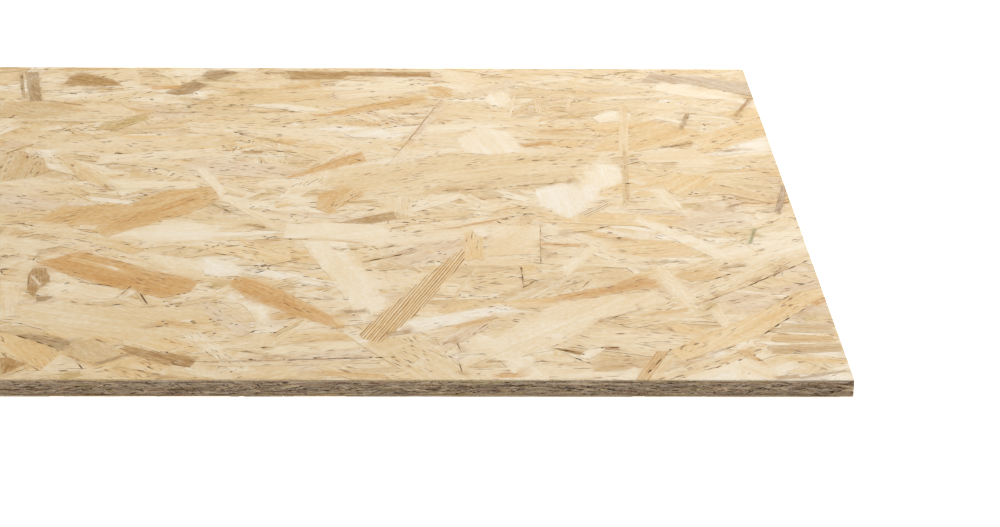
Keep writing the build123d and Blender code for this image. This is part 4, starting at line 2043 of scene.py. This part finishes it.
    def build(self) -> list[bpy.types.Object]:
        """Builds the pieces.

        Returns:
            The top strands, the bottom strands and the four sawn edges.
        """
        pieces = [self._top(), self._bottom(), *self._edges()]
        self.layer.clear()
        return pieces

    def _lay(self, kinds: tuple[StrandKind, ...], length: float, width: float, seed: int) -> list[Strand]:
        """Lays every kind over a field.

        Args:
            kinds: What is laid.
            length: The field's length.
            width: The field's width.
            seed: Fixes every draw.

        Returns:
            All the strands.
        """
        strands = []
        for number, kind in enumerate(kinds):
            strands += self.layer.lay(kind, length, width, seed + self.KIND_SEEDS * number)
        return strands

    def _slab(self, height: float, across: Vector) -> Field:
        """Works out the field of one face.

        Args:
            height: Where it lies.
            across: Direction of its width.

        Returns:
            The field.
        """
        place = Vector((self.middle.x, self.middle.y, height))
        along = Vector((1, 0, 0))
        return Field(place, along, across, self.size.x, self.size.y, *self.FACE_BAKE)

    def _top(self) -> bpy.types.Object:
        """Builds the upper face, with the strands that the photograph shows on top of the rest.

        Returns:
            The piece.
        """
        top = self._slab(self.high.z, Vector((0, 1, 0)))
        strands = self._lay(self.FACE_KINDS, top.length, top.width, self.seed)
        strands += self._crevices(strands, self.seed)
        strands += self._drawn_strands()
        return self._face("top_strands", top, strands)

    def _bottom(self) -> bpy.types.Object:
        """Builds the underside, which the photograph doesn't show.

        Returns:
            The piece.
        """
        under = self._slab(self.low.z, Vector((0, -1, 0)))
        seed = self.seed + self.UNDER_SEED
        strands = self._lay(self.FACE_KINDS, under.length, under.width, seed)
        strands += self._crevices(strands, seed)
        return self._face("bottom_strands", under, strands)

    def _face(self, name: str, place: Field, strands: list[Strand]) -> bpy.types.Object:
        """Presses one face.

        Args:
            name: The piece's name.
            place: Where it lies.
            strands: What lies in it.

        Returns:
            The piece.
        """
        pattern = StrandPattern(place.length, place.width, strands, self.FACE_CRUMB, self.FACE_GRIT)
        skin = PressedSkin(place, pattern, self.skin, self.FACE_RELIEF, self.FACE_BED,
                           Tone.WHEAT.linear(), self.FACE_WOOD, self.SAWN_WOOD)
        return self._press(name, skin)

    def _press(self, name: str, skin: PressedSkin) -> bpy.types.Object:
        """Finds what shows of a skin's strands and makes it a piece.

        Args:
            name: The piece's name.
            skin: What is pressed.

        Returns:
            The piece.
        """
        LOG.info("%s: %d strands laid", name, len(skin.pattern.strands))
        skin.pattern.find()
        piece = Piece(name)
        skin.add_to(piece)
        return piece.build(self.finishes)

    def _edges(self) -> list[bpy.types.Object]:
        """Builds the four sawn edges between the two faces.

        Returns:
            The pieces.
        """
        tall = self.size.z - 2 * self.skin
        short = self.size.y - 2 * self.edge_plate
        up = Vector((0, 0, 1))
        turns = (
            ("front_edge", Vector((1, 0, 0)), self.size.x, self.size.y / 2),
            ("right_edge", Vector((0, 1, 0)), short, self.size.x / 2),
            ("back_edge", Vector((-1, 0, 0)), self.size.x, self.size.y / 2),
            ("left_edge", Vector((0, -1, 0)), short, self.size.x / 2),
        )
        pieces = []
        for number, (name, along, length, away) in enumerate(turns):
            place = self.middle + along.cross(up) * away
            band = Field(place, along, up, length, tall, *self.EDGE_BAKE)
            seed = self.seed + self.EDGE_SEED + self.EDGE_SEEDS * number
            strands = self._lay(self.EDGE_KINDS, length, tall, seed)
            pattern = StrandPattern(length, tall, strands, self.EDGE_CRUMB, 0.0)
            skin = PressedSkin(band, pattern, self.edge_plate, self.EDGE_RELIEF, self.EDGE_BED,
                               Tone.SAWN_DARK.linear(), self.SAWN_WOOD, self.SAWN_WOOD, **self.EDGE_SHADES)
            pieces.append(self._press(name, skin))
        return pieces

    def _crevices(self, strands: list[Strand], seed: int) -> list[Strand]:
        """Opens a row of short crevices along one side of some strands, their dark colour painted shade,
        some with a bright chip beside, which is pale wood and partly a painted highlight.

        Args:
            strands: The strands of a face.
            seed: Fixes every draw.

        Returns:
            The crevices, as gaps just above their strands, and the chips.
        """
        rng = random.Random(seed + 1)
        crevices = []
        for strand in strands:
            if strand.is_gap:
                continue
            if rng.random() < self.CLUSTERS:
                crevices.extend(self._flecks(strand, rng))
            if rng.random() > self.CREVICES:
                continue
            back, forth, down, up = strand.reach()
            side = rng.choice((down, up)) * self.CREVICE_SIDE
            start = back + (forth - back) * rng.uniform(0.0, self.CREVICE_START)
            for _ in range(rng.randint(1, self.CREVICE_ROW)):
                length = rng.uniform(*self.CREVICE_LENGTH)
                wide = rng.uniform(*self.CREVICE_WIDTH)
                if start + length > forth:
                    break
                # A crevice's dark colour is painted shade
                tone = pick_tone(GAP_SHADE_TONES, rng)
                crevices.append(self._chip(strand, (start, side), length, wide, tone, rng))
                crevices[-1].is_gap = True
                # The bright chip beside a crevice is pale wood and partly a painted highlight on its lip
                if rng.random() < self.CHIPS:
                    shift = length * rng.uniform(-self.CHIP_SHIFT, self.CHIP_SHIFT)
                    beside = (start + shift, side + wide * rng.choice((-1.0, 1.0)))
                    tone = pick_tone({Tone.WHITE: 1.0}, rng)
                    crevices.append(self._chip(strand, beside, length * self.CHIP_LENGTH, wide, tone, rng))
                start += length + rng.uniform(*self.CREVICE_LENGTH) * self.CREVICE_APART
        return crevices

    def _flecks(self, strand: Strand, rng: random.Random) -> list[Strand]:
        """Scatters flecks about one end of a strand.

        Args:
            strand: The strand.
            rng: Where their unevenness comes from.

        Returns:
            Dark flecks, as gaps in painted shade, and bright ones, which are pale wood and partly painted
            highlights.
        """
        back, forth, down, up = strand.reach()
        end = rng.choice((back, forth))
        flecks = []
        along, across = self.FLECK_SPREAD
        for _ in range(rng.randint(*self.FLECKS)):
            place = (end + rng.gauss(0.0, along), rng.uniform(down, up) + rng.gauss(0.0, across))
            # A bright fleck is pale wood and partly a painted highlight; a dark one is painted shade
            is_bright = rng.random() < self.CHIPS
            tone = pick_tone({Tone.WHITE: 1.0} if is_bright else GAP_SHADE_TONES, rng)
            length, wide = rng.uniform(*self.FLECK_LENGTH), rng.uniform(*self.FLECK_WIDTH)
            flecks.append(self._chip(strand, place, length, wide, tone, rng))
            flecks[-1].is_gap = not is_bright
        return flecks

    def _chip(
        self, strand: Strand, start: Point, length: float, wide: float, tone: Colour, rng: random.Random
    ) -> Strand:
        """Lays a small chip along a strand.

        Args:
            strand: The strand.
            start: Where the chip starts, along and across the strand.
            length: Its length.
            wide: Its width.
            tone: Its linear colour.
            rng: Where its unevenness comes from.

        Returns:
            The chip, just above the strand.
        """
        along, side = start
        corners = [
            (along, side),
            (along + length * rng.uniform(*self.CHIP_BELOW), side - wide * rng.uniform(*self.CHIP_BELLY)),
            (along + length, side),
            (along + length * rng.uniform(*self.CHIP_ABOVE), side + wide * rng.uniform(*self.CHIP_BELLY)),
        ]
        outline = turned(corners, strand.middle, strand.turn)
        least, chance = self.CHIP_RISE
        rank = strand.rank + least + chance * rng.random()
        return Strand(outline, rank, strand.turn, strand.middle, tone)

    def _drawn_strands(self) -> list[Strand]:
        """Lays the strands and gaps that stand out in the photograph, above all others.

        Returns:
            The strands, lowest first.
        """
        rng = random.Random(self.seed)
        strands = []
        for wide in WIDE_STRANDS:
            outline = self._frayed([self.camera.on_top(p) for p in wide.outline], rng)
            tone = pick_tone({wide.tone: 1.0}, rng, self.WIDE_STRAY)
            strands.append(Strand(outline, 1.0, self._lie(outline), outline[0], tone, wide.figure or -1.0))
            strands[-1].soft = self.WIDE_SOFT if wide.tone in PALE_TONES else self.DARK_SOFT
            LOG.debug("%s laid", wide.name)
        for strip in NARROW_STRANDS:
            tone = pick_tone({strip.tone: 1.0}, rng, self.STRIP_STRAY)
            strands.append(self._between(strip.start, strip.end, strip.width, strip.shape, tone, rng))
            strands[-1].figure = strip.figure or -1.0
            strands[-1].soft = self.STRIP_SOFT if strip.tone in PALE_TONES else self.DARK_SOFT
            LOG.debug("%s laid", strip.name)
        for gap in DARK_GAPS:
            strands.extend(self._dashed(gap, rng))
        for number, strand in enumerate(strands):
            strand.rank = 1.0 + number / self.DRAWN_RISE
        return strands

    def _dashed(self, gap: DrawnGap, rng: random.Random) -> list[Strand]:
        """Opens a gap as a row of short dashes, along a brown line that is a painted shadow.

        Args:
            gap: The gap.
            rng: Where its unevenness comes from.

        Returns:
            The painted shadow line and the dashes.
        """
        whole = math.dist(gap.start, gap.end)
        if whole < self.SPECKS:
            return self._specks(gap, rng)
        # A brown line along the gap, as a painted shadow
        line = pick_tone({Tone.BROWN: 1.0}, rng, self.SHADOW_LINE_STRAY)
        dashes = [self._between(gap.start, gap.end, gap.width * self.LINE, StrandShape.SLIVER, line, rng)]
        along = rng.uniform(0.0, self.DASH[1])
        while along < whole:
            length = min(rng.uniform(*self.DASH), whole - along)
            ends = []
            for way in (along, along + length):
                share = way / whole
                x = gap.start[0] + (gap.end[0] - gap.start[0]) * share
                y = gap.start[1] + (gap.end[1] - gap.start[1]) * share
                ends.append((x, y + rng.uniform(-self.WANDER, self.WANDER)))
            # The dashes' dark colour is painted shade
            tone = pick_tone({gap.tone: 1.0}, rng, self.GAP_STRAY)
            width = gap.width * rng.uniform(*self.OPEN)
            dashes.append(self._between(*ends, width, StrandShape.SLIVER, tone, rng))
            dashes[-1].is_gap = True
            along += length + rng.expovariate(1.0 / self.APART)
        return dashes

    def _specks(self, gap: DrawnGap, rng: random.Random) -> list[Strand]:
        """Scatters dark specks in painted shade and a bright chip, which is pale wood and partly a painted
        highlight, about a short gap.

        Args:
            gap: The gap.
            rng: Where their unevenness comes from.

        Returns:
            The specks and the chip.
        """
        x, y = ((a + b) / 2 for a, b in zip(gap.start, gap.end))
        along, across = self.SPECK_AWAY
        specks = []
        # The brown and gap-coloured specks are painted shade, the white one is pale wood and partly a
        # painted highlight
        for tone in (Tone.BROWN, Tone.WHITE, gap.tone, gap.tone):
            long = rng.uniform(*self.SPECK_LENGTH)
            start = (x + rng.uniform(-along, along) - long / 2, y + rng.uniform(-across, across))
            end = (start[0] + long, start[1] + rng.uniform(-self.SPECK_LEAN, self.SPECK_LEAN))
            wide = gap.width * rng.uniform(*self.SPECK_SHARES)
            colour = pick_tone({tone: 1.0}, rng, self.GAP_STRAY)
            specks.append(self._between(start, end, wide, StrandShape.SLIVER, colour, rng))
            specks[-1].is_gap = tone is not Tone.WHITE
        return specks

    def _between(
        self, start: Point, end: Point, width: float, shape: StrandShape, tone: Colour, rng: random.Random
    ) -> Strand:
        """Lays a strand between two places on the top face.

        Args:
            start: One end, as a pixel of the photograph.
            end: The other end.
            width: Width in millimetres.
            shape: How it ends.
            tone: Its linear colour.
            rng: Where its unevenness comes from.

        Returns:
            The strand.
        """
        one, two = self.camera.on_top(start), self.camera.on_top(end)
        turn = math.remainder(math.atan2(two[1] - one[1], two[0] - one[0]), math.pi)
        middle = ((one[0] + two[0]) / 2, (one[1] + two[1]) / 2)
        length = math.dist(one, two)
        corners = [(x * length, y * width * MM) for x, y in shape.outline(rng)]
        return Strand(turned(corners, middle, turn), 1.0, turn, middle, tone)

    def _frayed(self, outline: list[Point], rng: random.Random) -> list[Point]:
        """Breaks an outline's long sides into short ones that wander a little.

        Args:
            outline: The corners.
            rng: Where the wandering comes from.

        Returns:
            The frayed outline, anticlockwise.
        """
        area = sum(a[0] * b[1] - b[0] * a[1] for a, b in zip(outline, outline[1:] + outline[:1]))
        corners = outline if area > 0.0 else outline[::-1]
        frayed = []
        for a, b in zip(corners, corners[1:] + corners[:1]):
            parts = max(1, round(math.dist(a, b) / self.FRAY_STEP))
            frayed.append(a)
            for k in range(1, parts):
                x = a[0] + (b[0] - a[0]) * k / parts + rng.uniform(-self.FRAY, self.FRAY)
                y = a[1] + (b[1] - a[1]) * k / parts + rng.uniform(-self.FRAY, self.FRAY)
                frayed.append((x, y))
        return frayed

    @staticmethod
    def _lie(outline: list[Point]) -> float:
        """Finds the direction of an outline's longest diagonal.

        Args:
            outline: The corners.

        Returns:
            The direction in radians.
        """
        pairs = [(a, b) for i, a in enumerate(outline) for b in outline[:i]]
        a, b = max(pairs, key=lambda p: math.dist(*p))
        return math.remainder(math.atan2(b[1] - a[1], b[0] - a[0]), math.pi)


@dataclass
class Studio:
    """A pale floor and soft light from above, a little from the back right.

    Attributes:
        floor_z: Height of the floor.
        floor_size: Its width.
        key_place: Where the overhead light hangs.
        key_aim: What it points at.
        key_power: Its power in watts.
        key_size: Its width.
        sky: Light that comes from all round.
    """

    floor_z: float
    floor_size: float = 40.0
    key_place: Vector = field(default_factory=lambda: Vector((1.3, 1.8, 2.4)))
    key_aim: Vector = field(default_factory=lambda: Vector((0.15, 0.0, 0.0)))
    key_power: float = 93.0
    key_size: float = 2.6
    sky: float = 0.37

    def build(self) -> None:
        """Adds the floor, the light and the sky."""
        half = self.floor_size / 2
        corners = [(-half, -half), (half, -half), (half, half), (-half, half)]
        mesh = bpy.data.meshes.new("floor")
        mesh.from_pydata([(x, y, self.floor_z) for x, y in corners], [], [(0, 1, 2, 3)])
        mesh.materials.append(FloorFinish().material())
        floor = bpy.data.objects.new("floor", mesh)
        bpy.context.scene.collection.objects.link(floor)

        light = bpy.data.lights.new("overhead_light", "AREA")
        light.energy = self.key_power
        light.size = self.key_size
        lamp = bpy.data.objects.new("overhead_light", light)
        aim = (self.key_aim - self.key_place).to_track_quat("-Z", "Y")
        lamp.matrix_world = Matrix.Translation(self.key_place) @ aim.to_matrix().to_4x4()
        bpy.context.scene.collection.objects.link(lamp)

        world = bpy.data.worlds.new("studio")
        world.use_nodes = True
        world.node_tree.nodes["Background"].inputs["Color"].default_value = (1.0, 1.0, 1.0, 1.0)
        world.node_tree.nodes["Background"].inputs["Strength"].default_value = self.sky
        bpy.context.scene.world = world
        bpy.context.scene.view_settings.view_transform = "Standard"


def main() -> None:
    """Builds the camera, the panel and the studio."""
    logging.basicConfig(level=logging.INFO, format="%(relativeCreated)d ms %(name)s: %(message)s")
    low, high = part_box(NODE)
    camera = PhotoCamera(Vector((high.x, low.y, high.z)))
    camera.build()
    pieces = StrandPanel(low, high, camera).build()
    for piece in pieces:
        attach(piece, BODY)
        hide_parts(NODE)
        LOG.info("%s is in place", piece.name)
    Studio(low.z).build()


if __name__ == "__main__":
    main()
